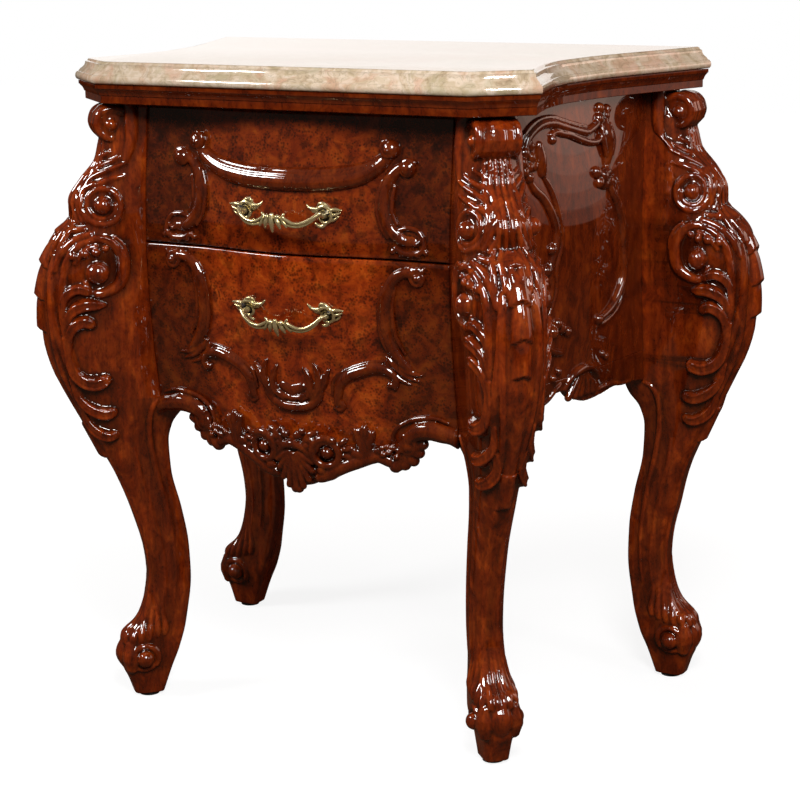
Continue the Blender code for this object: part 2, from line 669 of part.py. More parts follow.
def runners(material, parent):
    """L-shaped runners: the drawer side stands on the seat, and the guide keeps it straight."""
    front = RAIL_BACK_Y + FIT
    back = BACK_PANEL_Y - FIT
    inside = BOX_HALF - RUNNER_SEAT
    guide = BOX_HALF + RUNNER_CLEARANCE
    outside = DRAWER_OPENING - FIT
    for name, floor in (("upper", UPPER_BOX_BOTTOM), ("lower", LOWER_BOX_BOTTOM)):
        seat = floor - FIT
        bottom = seat - RUNNER_HEIGHT
        outline = [(inside, bottom), (outside, bottom), (outside, seat + GUIDE_HEIGHT),
                   (guide, seat + GUIDE_HEIGHT), (guide, seat), (inside, seat)]
        for side, hand in ((-1, "left"), (1, "right")):
            mirrored = [(side * x, z) for x, z in outline]
            prism_y("%s_runner_%s" % (name, hand), mirrored, front, back, material, parent)


# Drawers

def drawer_front(name, bottom, top, material, parent):
    """A board with a bombé face and a flat back; bottom gives its lower edge."""
    columns = []
    for column in range(FRONT_COLUMNS + 1):
        x = DRAWER_HALF * (2 * column / FRONT_COLUMNS - 1)
        low = bottom(x)
        heights = [low + (top - low) * row / FRONT_ROWS for row in range(FRONT_ROWS + 1)]
        ring = [(x, front_y(x, z), z) for z in heights]
        ring += [(x, FRONT_BACK_Y, top), (x, FRONT_BACK_Y, low)]
        columns.append(ring)
    return add_solid(name, *loft(columns), material, parent)


def drawer_box(name, bottom, top, material, parent):
    """Two sides, a back and a bottom let in between them, behind the front."""
    front = FRONT_BACK_Y + FIT
    inside = BOX_HALF - BOX_WALL
    for side, hand in ((-1, "left"), (1, "right")):
        ends = sorted((side * inside, side * BOX_HALF))
        box("%s_drawer_side_%s" % (name, hand), (ends[0], front, bottom),
            (ends[1], BOX_BACK_Y, top), material, parent)
    fitted = inside - FIT
    rise = bottom + BOX_BOTTOM_RISE
    box(name + "_drawer_back", (-fitted, BOX_BACK_Y - BOX_WALL, bottom),
        (fitted, BOX_BACK_Y, top), material, parent)
    box(name + "_drawer_bottom", (-fitted, front, rise),
        (fitted, BOX_BACK_Y - BOX_WALL - FIT, rise + BOX_BOTTOM), material, parent)


def applied_carving(name, path, material, parent):
    """Carving on the drawer face along a path of (x, z, half width, rise) stations."""
    rings = []
    for index, (x, z, width, rise) in enumerate(path):
        ahead = path[min(index + 1, len(path) - 1)]
        behind = path[max(index - 1, 0)]
        run = Vector((ahead[0] - behind[0], ahead[1] - behind[1])).normalized()
        ring = []
        for across, lift in half_round(width, rise):
            px = x - run.y * across
            pz = z + run.x * across
            ring.append((px, front_y(px, pz) - CARVING_FIT - lift, pz))
        rings.append(ring)
    return add_solid(name, *loft(rings), material, parent)


def mirror_path(half):
    """A symmetrical run: the left half, then its reflection."""
    return [(-x, *rest) for x, *rest in reversed(half[1:])] + [tuple(knot) for knot in half]


def carving_path(knots, low, high, steps):
    """A smooth run of stations from shares of the half front, its height and the moulding."""
    return smooth_path([(DRAWER_HALF * x, low + (high - low) * z, SCROLL_WIDTH * width,
                         SCROLL_RISE * rise) for x, z, width, rise in knots], steps)


def upper_carving(material, parent):
    low, high = UPPER_FRONT_BOTTOM, UPPER_FRONT_TOP
    swag = [(0.0, 0.514, 1, 1), (0.226, 0.528, 1, 1), (0.44, 0.585, 1, 1), (0.593, 0.685, 0.8, 0.9),
            (0.667, 0.756, 1.15, 1.3), (0.718, 0.713, 0.8, 0.8), (0.785, 0.649, 1.1, 1.2),
            (0.825, 0.628, 0.5, 0.5)]
    applied_carving("upper_swag", carving_path(mirror_path(swag), low, high, 2), material, parent)
    scroll = [(0.667, 0.556, 0.5, 0.5), (0.605, 0.485, 0.8, 0.8), (0.571, 0.357, 1, 1),
              (0.593, 0.228, 1, 1), (0.667, 0.128, 0.9, 1), (0.757, 0.086, 0.8, 1),
              (0.825, 0.136, 1, 1.2), (0.836, 0.2, 0.6, 0.6)]
    both_hands("upper_scroll_", carving_path(scroll, low, high, 3), material, parent)


def lower_carving(material, parent):
    low, high = APRON_ARCH, LOWER_FRONT_TOP
    scroll = [(0.847, 0.88, 0.6, 0.6), (0.808, 0.94, 0.9, 1.1), (0.712, 0.916, 0.9, 1),
              (0.621, 0.82, 1, 1), (0.588, 0.653, 1, 1), (0.61, 0.485, 1, 1),
              (0.678, 0.365, 0.8, 0.9), (0.768, 0.281, 0.3, 0.4)]
    both_hands("lower_scroll_", carving_path(scroll, low, high, 3), material, parent)
    garland = [(0.0, 0.06, 1.4, 1.3), (0.10, 0.084, 1.2, 1.1), (0.226, 0.132, 0.8, 1),
               (0.328, 0.228, 0.8, 0.9), (0.44, 0.299, 0.7, 0.8), (0.554, 0.287, 0.7, 0.8),
               (0.62, 0.216, 0.4, 0.5)]
    applied_carving("lower_garland", carving_path(mirror_path(garland), low, high, 2),
                    material, parent)
    stations = [(0.0, 1.0, 1.0), (0.09, 0.93, 0.93), (0.19, 0.73, 0.73), (0.295, 0.66, 0.73),
                (0.405, 0.63, 0.73), (0.51, 0.61, 0.73), (0.61, 0.56, 0.8), (0.70, 0.39, 0.67),
                (0.79, 0.32, 0.6), (0.89, 0.29, 0.53), (0.966, 0.24, 0.4)]
    half = []
    for share, broad, proud in stations:
        x, width = DRAWER_HALF * share, APRON_CARVING_WIDTH * broad
        middle = apron_bottom(x) + CARVING_RIM + width
        half.append((x, middle, width, APRON_CARVING_RISE * proud))
    applied_carving("apron_carving", smooth_path(mirror_path(half), 2), material, parent)


def both_hands(stem, path, material, parent):
    for side, hand in ((-1, "left"), (1, "right")):
        applied_carving(stem + hand, [(side * x, *rest) for x, *rest in path], material, parent)


def handle_path():
    """Half of a pull, (x, projection, drop, radius) from the middle to the rose."""
    knots = [(0.0, 1.0, 1.0, HANDLE_KNOT), (0.12, 1.0, 0.97, HANDLE_KNOT * 0.85),
             (0.24, 0.98, 0.93, HANDLE_BAR), (0.56, 0.93, 0.62, HANDLE_BAR),
             (0.80, 0.78, 0.20, HANDLE_BAR * 1.2), (0.96, 0.52, 0.02, HANDLE_BAR * 1.5)]
    return [(HANDLE_HALF * x, HANDLE_PROJECTION * out, HANDLE_DROP * drop, radius)
            for x, out, drop, radius in knots]


def handle(name, height, material, parent):
    """A cast pull: a bar that droops between two roses seated on the face."""
    seat = front_y(HANDLE_HALF, height) - HANDLE_FIT
    half = handle_path()
    left = [(-x, *rest) for x, *rest in reversed(half[1:])]
    bar = smooth_path(left + half, 2)
    path = [(x, seat - out, height - drop, radius) for x, out, drop, radius in bar]
    rings = []
    for index, (x, y, z, radius) in enumerate(path):
        before = Vector(path[max(index - 1, 0)][:3])
        after = Vector(path[min(index + 1, len(path) - 1)][:3])
        run = (after - before).normalized()
        up = Vector((0, 0, 1))
        out = run.cross(up).normalized()
        up = out.cross(run)
        rings.append(ring_at(Vector((x, y, z)), out, up, radius))
    rose = [(0.40, 0.62), (0.28, 1.0), (0.0, 1.0)]
    for end, hand in ((0, -1), (-1, 1)):
        tail = []
        for share, swell in rose:
            middle = Vector((hand * HANDLE_HALF, 0, height))
            ring = ring_at(middle, Vector((hand, 0, 0)), Vector((0, 0, 1)), HANDLE_ROSE * swell)
            lift = HANDLE_FIT + HANDLE_PROJECTION * share
            tail.append([Vector((x, front_y(x, z) - lift, z)) for x, _, z in ring])
        rings = tail[::-1] + rings if end == 0 else rings + tail
    pull = add_solid(name + "_handle", *loft(rings), material, parent)
    return pull, seat


def ring_at(middle, out, up, radius):
    angles = [2 * math.pi * step / HANDLE_SIDES for step in range(HANDLE_SIDES)]
    return [middle + out * (radius * math.cos(a)) + up * (radius * math.sin(a)) for a in angles]


def handle_screws(name, height, front, pull, seat, material, parent):
    """A machine screw into each rose, with its head inside the drawer."""
    hole = SCREW_RADIUS + FIT
    head = FRONT_BACK_Y + FIT
    tip = seat - SCREW_BITE
    for side, hand in ((-1, "left"), (1, "right")):
        place = (side * HANDLE_HALF, 0, height)
        stations = [(tip, SCREW_RADIUS), (head, SCREW_RADIUS), (head, SCREW_HEAD_RADIUS),
                    (head + SCREW_HEAD_HEIGHT, SCREW_HEAD_RADIUS)]
        add_solid("%s_handle_screw_%s" % (name, hand), *loft(cylinder_rings(stations, SCREW_SIDES)),
                  material, parent, place=place)
        bore = cylinder_rings([(tip - FIT, hole), (head + SCREW_HEAD_HEIGHT, hole)], SCREW_SIDES)
        cutter = add_solid("%s_bore_%s" % (name, hand), *loft(bore), material, parent, place=place)
        cut_away(front, cutter)
        cut_away(pull, cutter)


def drawer(name, handle_height, bottom, top, box_bottom, box_top, finishes, parent):
    front = drawer_front(name + "_drawer_front", bottom, top, finishes["burl"], parent)
    drawer_box(name, box_bottom, box_top, finishes["pine"], parent)
    pull, seat = handle(name, handle_height, finishes["brass"], parent)
    handle_screws(name, handle_height, front, pull, seat, finishes["steel"], parent)


def centre_on_floor(root):
    """Moves the whole piece so that the middle of its overall box stands on the origin."""
    bpy.context.view_layer.update()
    graph = bpy.context.evaluated_depsgraph_get()
    corners = []
    for item in bpy.data.objects:
        if item.type == "MESH" and not item.hide_render:
            shape = item.evaluated_get(graph)
            corners += [item.matrix_world @ vertex.co for vertex in shape.data.vertices]
    for axis in (0, 1):
        values = [corner[axis] for corner in corners]
        root.location[axis] = -(min(values) + max(values)) / 2


def main():
    remove_everything()
    finishes = {
        "mahogany": finish_material("lacquered_mahogany", (0.16, 0.030, 0.010), 0.18),
        "burl": finish_material("burl_veneer", (0.24, 0.060, 0.014), 0.16),
        "pine": finish_material("drawer_lining", (0.50, 0.32, 0.16), 0.55),
        "marble": finish_material("polished_marble", (0.74, 0.64, 0.50), 0.12),
        "brass": finish_material("antique_brass", (0.45, 0.35, 0.18), 0.35, 1.0),
        "steel": finish_material("zinc_steel", (0.55, 0.55, 0.56), 0.40, 1.0),
        "nylon": finish_material("dark_nylon", (0.03, 0.03, 0.03), 0.50),
    }
    root = add_empty("nightstand")
    upper = add_empty("upper_drawer", root)
    lower = add_empty("lower_drawer", root)
    marble_top(finishes["marble"], root)
    cornice(finishes["mahogany"], root)
    sub_top(finishes["pine"], root)
    legs(finishes["mahogany"], root)
    foot_glides(finishes["nylon"], root)
    sides(finishes["mahogany"], root)
    side_frames(finishes["mahogany"], root)
    back_panel(finishes["pine"], root)
    rails(finishes["pine"], root)
    runners(finishes["pine"], root)
    drawer("upper", UPPER_HANDLE_HEIGHT, lambda x: UPPER_FRONT_BOTTOM, UPPER_FRONT_TOP,
           UPPER_BOX_BOTTOM, UPPER_BOX_TOP, finishes, upper)
    drawer("lower", LOWER_HANDLE_HEIGHT, apron_bottom, LOWER_FRONT_TOP,
           LOWER_BOX_BOTTOM, LOWER_BOX_TOP, finishes, lower)
    upper_carving(finishes["mahogany"], upper)
    lower_carving(finishes["mahogany"], lower)
    centre_on_floor(root)


main()
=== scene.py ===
"""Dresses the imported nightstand: carved lacquered wood, burl fronts, marble and cast brass.

Metres, +Z up, the front faces -Y. Carving is written in millimetres on the face that
carries it and becomes tubes, fused with what they stand on and smoothed like carved wood.
"""
import json
import math

import bpy
import bmesh
import numpy as np
from mathutils import Matrix, Vector


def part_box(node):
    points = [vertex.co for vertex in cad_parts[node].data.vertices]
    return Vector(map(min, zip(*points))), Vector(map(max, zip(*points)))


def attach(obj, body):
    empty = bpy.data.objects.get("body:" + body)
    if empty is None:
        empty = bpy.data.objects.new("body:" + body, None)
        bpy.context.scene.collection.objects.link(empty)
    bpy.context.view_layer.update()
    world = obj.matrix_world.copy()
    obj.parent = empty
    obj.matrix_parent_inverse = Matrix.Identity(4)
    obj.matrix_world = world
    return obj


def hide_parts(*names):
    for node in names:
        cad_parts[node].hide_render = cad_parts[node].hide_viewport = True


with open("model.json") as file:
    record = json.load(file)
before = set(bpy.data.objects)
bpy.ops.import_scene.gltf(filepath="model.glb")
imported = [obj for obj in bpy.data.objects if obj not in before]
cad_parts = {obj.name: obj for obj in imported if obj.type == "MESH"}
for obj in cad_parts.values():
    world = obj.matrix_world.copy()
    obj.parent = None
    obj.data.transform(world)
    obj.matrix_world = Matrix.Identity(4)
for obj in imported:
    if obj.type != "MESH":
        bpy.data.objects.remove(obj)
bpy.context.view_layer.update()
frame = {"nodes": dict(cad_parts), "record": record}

MM = 0.001


def middle(node):
    """The middle of a CAD node's box."""
    low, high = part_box(node)
    return (low + high) / 2


# Places read from the frame
FRONT_FOOT = middle("foot_glide_front_right")
REAR_FOOT = middle("foot_glide_rear_right")
FOOT_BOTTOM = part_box("leg_front_right")[0].z
LEG_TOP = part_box("leg_rear_right")[1].z
MARBLE_LOW, MARBLE_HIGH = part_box("marble_top")
UPPER_LOW, UPPER_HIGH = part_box("upper_drawer_front")
LOWER_LOW, LOWER_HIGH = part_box("lower_drawer_front")
DRAWER_HALF = UPPER_HIGH.x
FRONT_BACK_Y = UPPER_HIGH.y
SPLIT = (UPPER_LOW.z + LOWER_HIGH.z) / 2
PANEL_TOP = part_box("side_panel_right")[1].z
PANEL_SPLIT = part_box("side_panel_right")[0].z
SIDE_APRON_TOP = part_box("side_apron_right")[1].z

# Bombé front, as in the solids
DRAWER_SIDE_GAP = 0.0012
FRONT_EDGE_Y = FRONT_FOOT.y - 0.003
FRONT_SWELL = 0.0155
FRONT_BOW = 0.015
FRONT_BOW_HALF = DRAWER_HALF - 0.042
SWELL_BOTTOM = 0.330
SWELL_TOP = LEG_TOP + 0.0073
POST_BOTTOM = 0.335
APRON_ARCH = 0.337
EDGE_ROUND = 0.0016
# Steps of the drawer fronts and the sides, across and up
FRONT_COLUMNS, FRONT_ROWS = 120, 50
SIDE_COLUMNS, SIDE_ROWS = 60, 40
# The drawers' way out starts this high, and cutters reach this far past the middle of the object
PASSAGE_BOTTOM = POST_BOTTOM - 0.010
FAR = 0.5

# How fine the carving is fused, and the share of a leg's triangles that is kept
LEG_VOXEL = 0.0010
LEG_THIN = 0.40
RELIEF_VOXEL = 0.0010
BRASS_VOXEL = 0.00055
TUBE_SIDES = 12
# Depth that counts as a full hollow in wood and in brass, and how wide its surroundings reach
HOLLOW_DEPTH = 0.0017
BRASS_HOLLOW_DEPTH = 0.0011
HOLLOW_ROUNDS = 28
# Play between pieces that lie side by side
PLAY = 0.0004


# General helpers

class Course:
    """A monotone cubic through (place, value) knots, flat at its turning points."""

    def __init__(self, knots):
        self.places = np.array([knot[0] for knot in knots], float)
        self.values = np.array([knot[1] for knot in knots], float)
        self.runs = np.diff(self.places)
        slopes = np.diff(self.values) / self.runs
        inner = [0.0 if a * b <= 0 else 2 * a * b / (a + b) for a, b in zip(slopes, slopes[1:])]
        self.tangents = np.array([slopes[0]] + inner + [slopes[-1]])

    def __call__(self, place):
        place = np.clip(place, self.places[0], self.places[-1])
        span = np.clip(np.searchsorted(self.places, place) - 1, 0, len(self.runs) - 1)
        run = self.runs[span]
        t = (place - self.places[span]) / run
        rise = t * t * (3 - 2 * t)
        lead = t * (1 - t) ** 2 * self.tangents[span]
        tail = t * t * (t - 1) * self.tangents[span + 1]
        step = self.values[span + 1] - self.values[span]
        return self.values[span] + step * rise + run * (lead + tail)


def smooth_path(points, steps):
    """A Catmull-Rom curve through points of any dimension, steps to each span."""
    knots = np.array([points[0]] + list(points) + [points[-1]], float)
    curve = []
    for a, b, c, d in zip(knots, knots[1:], knots[2:], knots[3:]):
        for t in np.arange(steps) / steps:
            curve.append(0.5 * (2 * b + (c - a) * t + (2 * a - 5 * b + 4 * c - d) * t * t
                                + (3 * b - a - 3 * c + d) * t ** 3))
    curve.append(knots[-1])
    return curve


def loft(rings, closed=False):
    """Points and faces of a skin over equal rings, capped unless the path is closed."""
    count = len(rings[0])
    points = [tuple(point) for ring in rings for point in ring]
    faces = []
    for row in range(len(rings) if closed else len(rings) - 1):
        here = row * count
        there = ((row + 1) % len(rings)) * count
        for step in range(count):
            after = (step + 1) % count
            faces.append((here + step, here + after, there + after, there + step))
    if not closed:
        faces.append(tuple(range(count)))
        faces.append(tuple(range(len(points) - count, len(points))))
    return points, faces


def shell(name, points, faces):
    """A mesh whose faces point outwards."""
    mesh = bpy.data.meshes.new(name)
    mesh.from_pydata(points, [], faces)
    face_out(mesh)
    return mesh


def face_out(mesh):
    """Turns the faces of a closed mesh outwards."""
    body = bmesh.new()
    body.from_mesh(mesh)
    bmesh.ops.recalc_face_normals(body, faces=body.faces)
    if body.calc_volume(signed=True) < 0:
        bmesh.ops.reverse_faces(body, faces=body.faces)
    body.to_mesh(mesh)
    body.free()


def add_object(name, data):
    item = bpy.data.objects.new(name, data)
    bpy.context.scene.collection.objects.link(item)
    return item


def evaluated(item):
    """The object's mesh with its modifiers applied; the object itself goes."""
    bpy.context.view_layer.update()
    seen = item.evaluated_get(bpy.context.evaluated_depsgraph_get())
    mesh = bpy.data.meshes.new_from_object(seen)
    mesh.name = item.name
    bpy.data.objects.remove(item, do_unlink=True)
    return mesh


def add(tree, kind, inputs=None, stops=None, **settings):
    """One node with its settings, its inputs set or linked, and a ramp's stops."""
    node = tree.nodes.new(kind)
    for name, value in settings.items():
        setattr(node, name, value)
    for name, value in (inputs or {}).items():
        if isinstance(value, bpy.types.NodeSocket):
            tree.links.new(value, node.inputs[name])
        else:
            node.inputs[name].default_value = value
    if stops:
        ramp = node.color_ramp.elements
        while len(ramp) < len(stops):
            ramp.new(1.0)
        for element, (place, colour) in zip(ramp, stops):
            element.position = place
            element.color = colour
    return node


def srgb(code):
    """A colour written as in a paint program, as linear light."""
    parts = [int(code[place:place + 2], 16) / 255 for place in (1, 3, 5)]
    linear = [part / 12.92 if part <= 0.04045 else ((part + 0.055) / 1.055) ** 2.4 for part in parts]
    return (*linear, 1.0)


# Carved runs: a path with a girth at each point becomes a tube

def carved_run_tree():
    """Grows a tube along each path, as thick as the girth stored at its points."""
    tree = bpy.data.node_groups.new("carved_runs", "GeometryNodeTree")
    tree.interface.new_socket("Paths", in_out="INPUT", socket_type="NodeSocketGeometry")
    tree.interface.new_socket("Sides", in_out="INPUT", socket_type="NodeSocketInt")
    tree.interface.new_socket("Finish", in_out="INPUT", socket_type="NodeSocketMaterial")
    tree.interface.new_socket("Tubes", in_out="OUTPUT", socket_type="NodeSocketGeometry")
    given = add(tree, "NodeGroupInput")
    curve = add(tree, "GeometryNodeMeshToCurve", {"Mesh": given.outputs["Paths"]})
    girth = add(tree, "GeometryNodeInputNamedAttribute", {"Name": "girth"}, data_type="FLOAT")
    ring = add(tree, "GeometryNodeCurvePrimitiveCircle",
               {"Resolution": given.outputs["Sides"], "Radius": 1.0})
    skin = add(tree, "GeometryNodeCurveToMesh",
               {"Curve": curve.outputs[0], "Profile Curve": ring.outputs[0], "Scale": girth.outputs[0],
                "Fill Caps": True})
    whole = add(tree, "GeometryNodeRealizeInstances", {0: skin.outputs[0]})
    finish = add(tree, "GeometryNodeSetMaterial",
                 {"Geometry": whole.outputs[0], "Material": given.outputs["Finish"]})
    add(tree, "NodeGroupOutput", {0: finish.outputs[0]})
    return tree


CARVED_RUNS = carved_run_tree()


def tubes(name, runs, finish):
    """The mesh of a list of runs, each a list of (point, girth) in metres."""
    points = [point for run in runs for point, _ in run]
    girths = [girth for run in runs for _, girth in run]
    edges = []
    start = 0
    for run in runs:
        edges += [(start + step, start + step + 1) for step in range(len(run) - 1)]
        start += len(run)
    mesh = bpy.data.meshes.new(name)
    mesh.from_pydata(points, edges, [])
    mesh.attributes.new("girth", "FLOAT", "POINT").data.foreach_set("value", girths)
    item = add_object(name, mesh)
    grow = item.modifiers.new("grow", "NODES")
    grow.node_group = CARVED_RUNS
    values = {"Sides": TUBE_SIDES, "Finish": finish}
    for socket in CARVED_RUNS.interface.items_tree:
        if socket.in_out == "INPUT" and socket.name in values:
            grow[socket.identifier] = values[socket.name]
    return evaluated(item)


def join(name, meshes):
    """One mesh of several, still overlapping."""
    body = bmesh.new()
    for mesh in meshes:
        body.from_mesh(mesh)
    mesh = bpy.data.meshes.new(name)
    body.to_mesh(mesh)
    body.free()
    return mesh


def fused(name, meshes, voxel, rounds=2, thin=None):
    """One skin round overlapping closed meshes, smoothed as by the carver's sandpaper."""
    item = add_object(name, join(name, meshes))
    remesh = item.modifiers.new("fuse", "REMESH")
    remesh.mode = "VOXEL"
    remesh.voxel_size = voxel
    smooth = item.modifiers.new("sand", "SMOOTH")
    smooth.factor = 0.5
    smooth.iterations = rounds
    if thin:
        item.modifiers.new("thin", "DECIMATE").ratio = thin
    return evaluated(item)


def cut(mesh, cutters):
    """The mesh less the cutters, which are boxes of (low, high) corners."""
    item = add_object(mesh.name, mesh)
    tools = []
    for low, high in cutters:
        square = [(low[0], low[1]), (high[0], low[1]), (high[0], high[1]), (low[0], high[1])]
        rings = [[(x, y, z) for x, y in square] for z in (low[2], high[2])]
        tool = add_object("cutter", shell("cutter", *loft(rings)))
        boolean = item.modifiers.new("cut", "BOOLEAN")
        boolean.operation = "DIFFERENCE"
        boolean.solver = "MANIFOLD"
        boolean.object = tool
        tools.append(tool)
    mesh = evaluated(item)
    for tool in tools:
        bpy.data.objects.remove(tool, do_unlink=True)
    return mesh


def mark_hollows(mesh, depth):
    """Stores how deep each point lies below its surroundings, from -1 to 1, as hollow."""
    count = len(mesh.vertices)
    points = np.empty(count * 3)
    normals = np.empty(count * 3)
    mesh.vertices.foreach_get("co", points)
    mesh.vertices.foreach_get("normal", normals)
    points = points.reshape(-1, 3)
    normals = normals.reshape(-1, 3)
    ends = np.empty(len(mesh.edges) * 2, int)
    mesh.edges.foreach_get("vertices", ends)
    one, two = ends.reshape(-1, 2).T
    neighbours = np.maximum(np.bincount(ends, minlength=count), 1)
    level = points
    for _ in range(HOLLOW_ROUNDS):
        sums = [np.bincount(one, level[two, axis], count) + np.bincount(two, level[one, axis], count)
                for axis in range(3)]
        level = np.array(sums).T / neighbours[:, None]
    below = ((level - points) * normals).sum(axis=1)
    hollow = mesh.attributes.new("hollow", "FLOAT", "POINT")
    hollow.data.foreach_set("value", np.clip(below / depth, -1, 1))


def piece(name, mesh, body, nodes, material, sharp=None):
    """A finished piece on its body, in place of its CAD nodes; edges past sharp degrees stay crisp."""
    mesh.materials.clear()
    mesh.materials.append(material)
    mesh.shade_smooth()
    if sharp:
        mesh.set_sharp_from_angle(angle=math.radians(sharp))
    item = add_object(name, mesh)
    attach(item, body)
    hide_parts(*nodes)


def mirrored(mesh):
    """The same mesh on the other side of the object."""
    other = mesh.copy()
    other.transform(Matrix.Scale(-1, 4, (1, 0, 0)))
    other.flip_normals()
    return other


# Ways of writing carving. A place is a function (across, up, lift) of a carved face,
# across and up in millimetres and lift in metres off the face.

def ridge(place, knots, proud=1.0, steps=5):
    """A ridge through (across, up, girth) knots; proud is its height in girths."""
    run = []
    for across, up, girth in smooth_path(knots, steps):
        girth = max(girth, 0.3) * MM
        run.append((place(across, up, girth * (proud - 1)), girth))
    return [rounded(run)]


def fluted(place, knots, proud):
    """A ridge with two fine ribs along it, like the fingers of a carved leaf."""
    runs = ridge(place, knots, proud)
    path = np.array(smooth_path(knots, 5))
    along = np.gradient(path[:, :2], axis=0)
    along /= np.linalg.norm(along, axis=1)[:, None]
    for share in (-0.5, 0.5):
        rib = []
        for (across, up, girth), (run, rise) in zip(path, along):
            lift = girth * (math.sqrt(1 - share ** 2) + proud - 1) * MM
            rib.append((place(across - rise * share * girth, up + run * share * girth, lift),
                        max(0.24 * girth, 0.7) * MM))
        runs.append(rounded(rib))
    return runs


def rounded(run):
    """The run with round ends."""
    ends = []
    for (tip, girth), (before, _) in ((run[0], run[1]), (run[-1], run[-2])):
        along = (tip - before).normalized()
        turn = [(math.sin(a), math.cos(a)) for a in np.radians((35, 62, 80))]
        ends.append([(tip + along * girth * out, girth * thin) for out, thin in turn])
    return ends[0][::-1] + run + ends[1]


def bead(place, across, up, radius, proud=1.0):
    """A ball set in the face; proud is how far it stands out, in radii from its middle."""
    run = []
    for angle in np.radians(np.arange(-84, 85, 14)):
        lift = radius * (proud - 1 + math.sin(angle)) * MM
        run.append((place(across, up, lift), radius * math.cos(angle) * MM))
    return [run]


def volute(place, centre, radii, start, turns, girths, proud):
    """A spiral ridge from the first radius in to the second, angles in degrees."""
    count = int(abs(turns) * 16) + 2
    knots = []
    for share in np.linspace(0, 1, count):
        angle = math.radians(start + 360 * turns * share)
        radius = radii[0] + (radii[1] - radii[0]) * share
        girth = girths[0] + (girths[1] - girths[0]) * share
        knots.append((centre[0] + radius * math.cos(angle), centre[1] + radius * math.sin(angle), girth))
    return ridge(place, knots, proud, steps=2)


# Materials

def lacquered(colour, bump):
    """Shared last step of the lacquered woods: a stained ground under a thick amber coat."""
    tree = colour.id_data
    add(tree, "ShaderNodeOutputMaterial", {"Surface": add(tree, "ShaderNodeBsdfPrincipled", {
        "Base Color": colour, "Roughness": 0.5, "Specular IOR Level": 0.05, "Coat Weight": 1.0,
        "Coat Roughness": 0.03, "Coat IOR": 1.75, "Coat Tint": srgb("#ffe3c4"),
        "Normal": bump}).outputs[0]})


def cells(size):
    """A pattern's scale: how many features of this size in millimetres fill a metre."""
    return 1 / (size * MM)


def new_material(name):
    """An empty material and its node tree."""
    material = bpy.data.materials.new(name)
    material.use_nodes = True
    material.node_tree.nodes.clear()
    return material, material.node_tree


def streaked(shade, where, streak):
    """The shade with upright streaks about 6 mm wide, lighter and darker by streak: wood grain, and painted
    sheen in place of reflections along grooves.
    """
    tree = shade.id_data
    upright = add(tree, "ShaderNodeMapping", {"Vector": where, "Scale": (1, 1, 0.05)}).outputs[0]
    # Grain with painted sheen: long light and dark upright streaks
    grain_and_sheen = add(tree, "ShaderNodeTexNoise", {"Vector": upright, "Scale": cells(6.061), "Detail": 3.0,
                                             "Distortion": 0.3}).outputs["Fac"]
    streaks = add(tree, "ShaderNodeMapRange", {"Value": grain_and_sheen, "From Min": 0.34, "From Max": 0.66,
                                               "To Min": 1.0 - streak, "To Max": 1.0 + streak}).outputs[0]
    return add(tree, "ShaderNodeMath", {0: shade, 1: streaks}, operation="MULTIPLY").outputs[0]


def stained_mahogany(name, tone, streak):
    """Red-brown stain under gloss: 16 mm clouds, 2.4 mm pores, almost black in the carved hollows, where a
    dark glaze and painted shade lie.

    The pores are drawn coarser than real ones, because those would be too fine to show.
    """
    material, tree = new_material(name)
    where = add(tree, "ShaderNodeTexCoord").outputs["Object"]
    along = add(tree, "ShaderNodeMapping", {"Vector": where, "Scale": (1, 1, 0.6)}).outputs[0]
    cloud = add(tree, "ShaderNodeTexNoise", {"Vector": along, "Scale": cells(16.13), "Detail": 8.0,
                                             "Roughness": 0.68, "Distortion": 0.5}).outputs["Fac"]
    grain = add(tree, "ShaderNodeMapping", {"Vector": where, "Scale": (1, 1, 0.45)}).outputs[0]
    pores = add(tree, "ShaderNodeTexNoise", {"Vector": grain, "Scale": cells(2.381),
                                             "Detail": 2.0}).outputs["Fac"]
    stain = add(tree, "ShaderNodeValToRGB", {"Fac": cloud}, stops=[
        (0.28, srgb("#3c1204")), (0.45, srgb("#642307")), (0.57, srgb("#7b320c")), (0.74, srgb("#9a4a16"))])
    speck = add(tree, "ShaderNodeMapRange", {"Value": pores, "From Min": 0.30, "From Max": 0.46,
                                             "To Min": 0.66, "To Max": 1.0}).outputs[0]
    # Glaze and painted shade: the deeper a point lies in a hollow, the darker its colour, down to 0.28 of
    # the tone
    depth = add(tree, "ShaderNodeAttribute", attribute_name="hollow").outputs["Fac"]
    glaze_and_painted_shade = add(tree, "ShaderNodeMapRange", {"Value": depth, "From Min": -0.1, "From Max": 0.65,
                                             "To Min": tone, "To Max": 0.28 * tone}).outputs[0]
    shade = add(tree, "ShaderNodeMath", {0: speck, 1: glaze_and_painted_shade}, operation="MULTIPLY").outputs[0]
    if streak:
        shade = streaked(shade, where, streak)
    colour = add(tree, "ShaderNodeVectorMath", {0: stain.outputs[0], "Scale": shade},
                 operation="SCALE").outputs[0]
    bump = add(tree, "ShaderNodeBump", {"Height": pores, "Strength": 0.03, "Distance": 0.0005})
    lacquered(colour, bump.outputs[0])
    return material


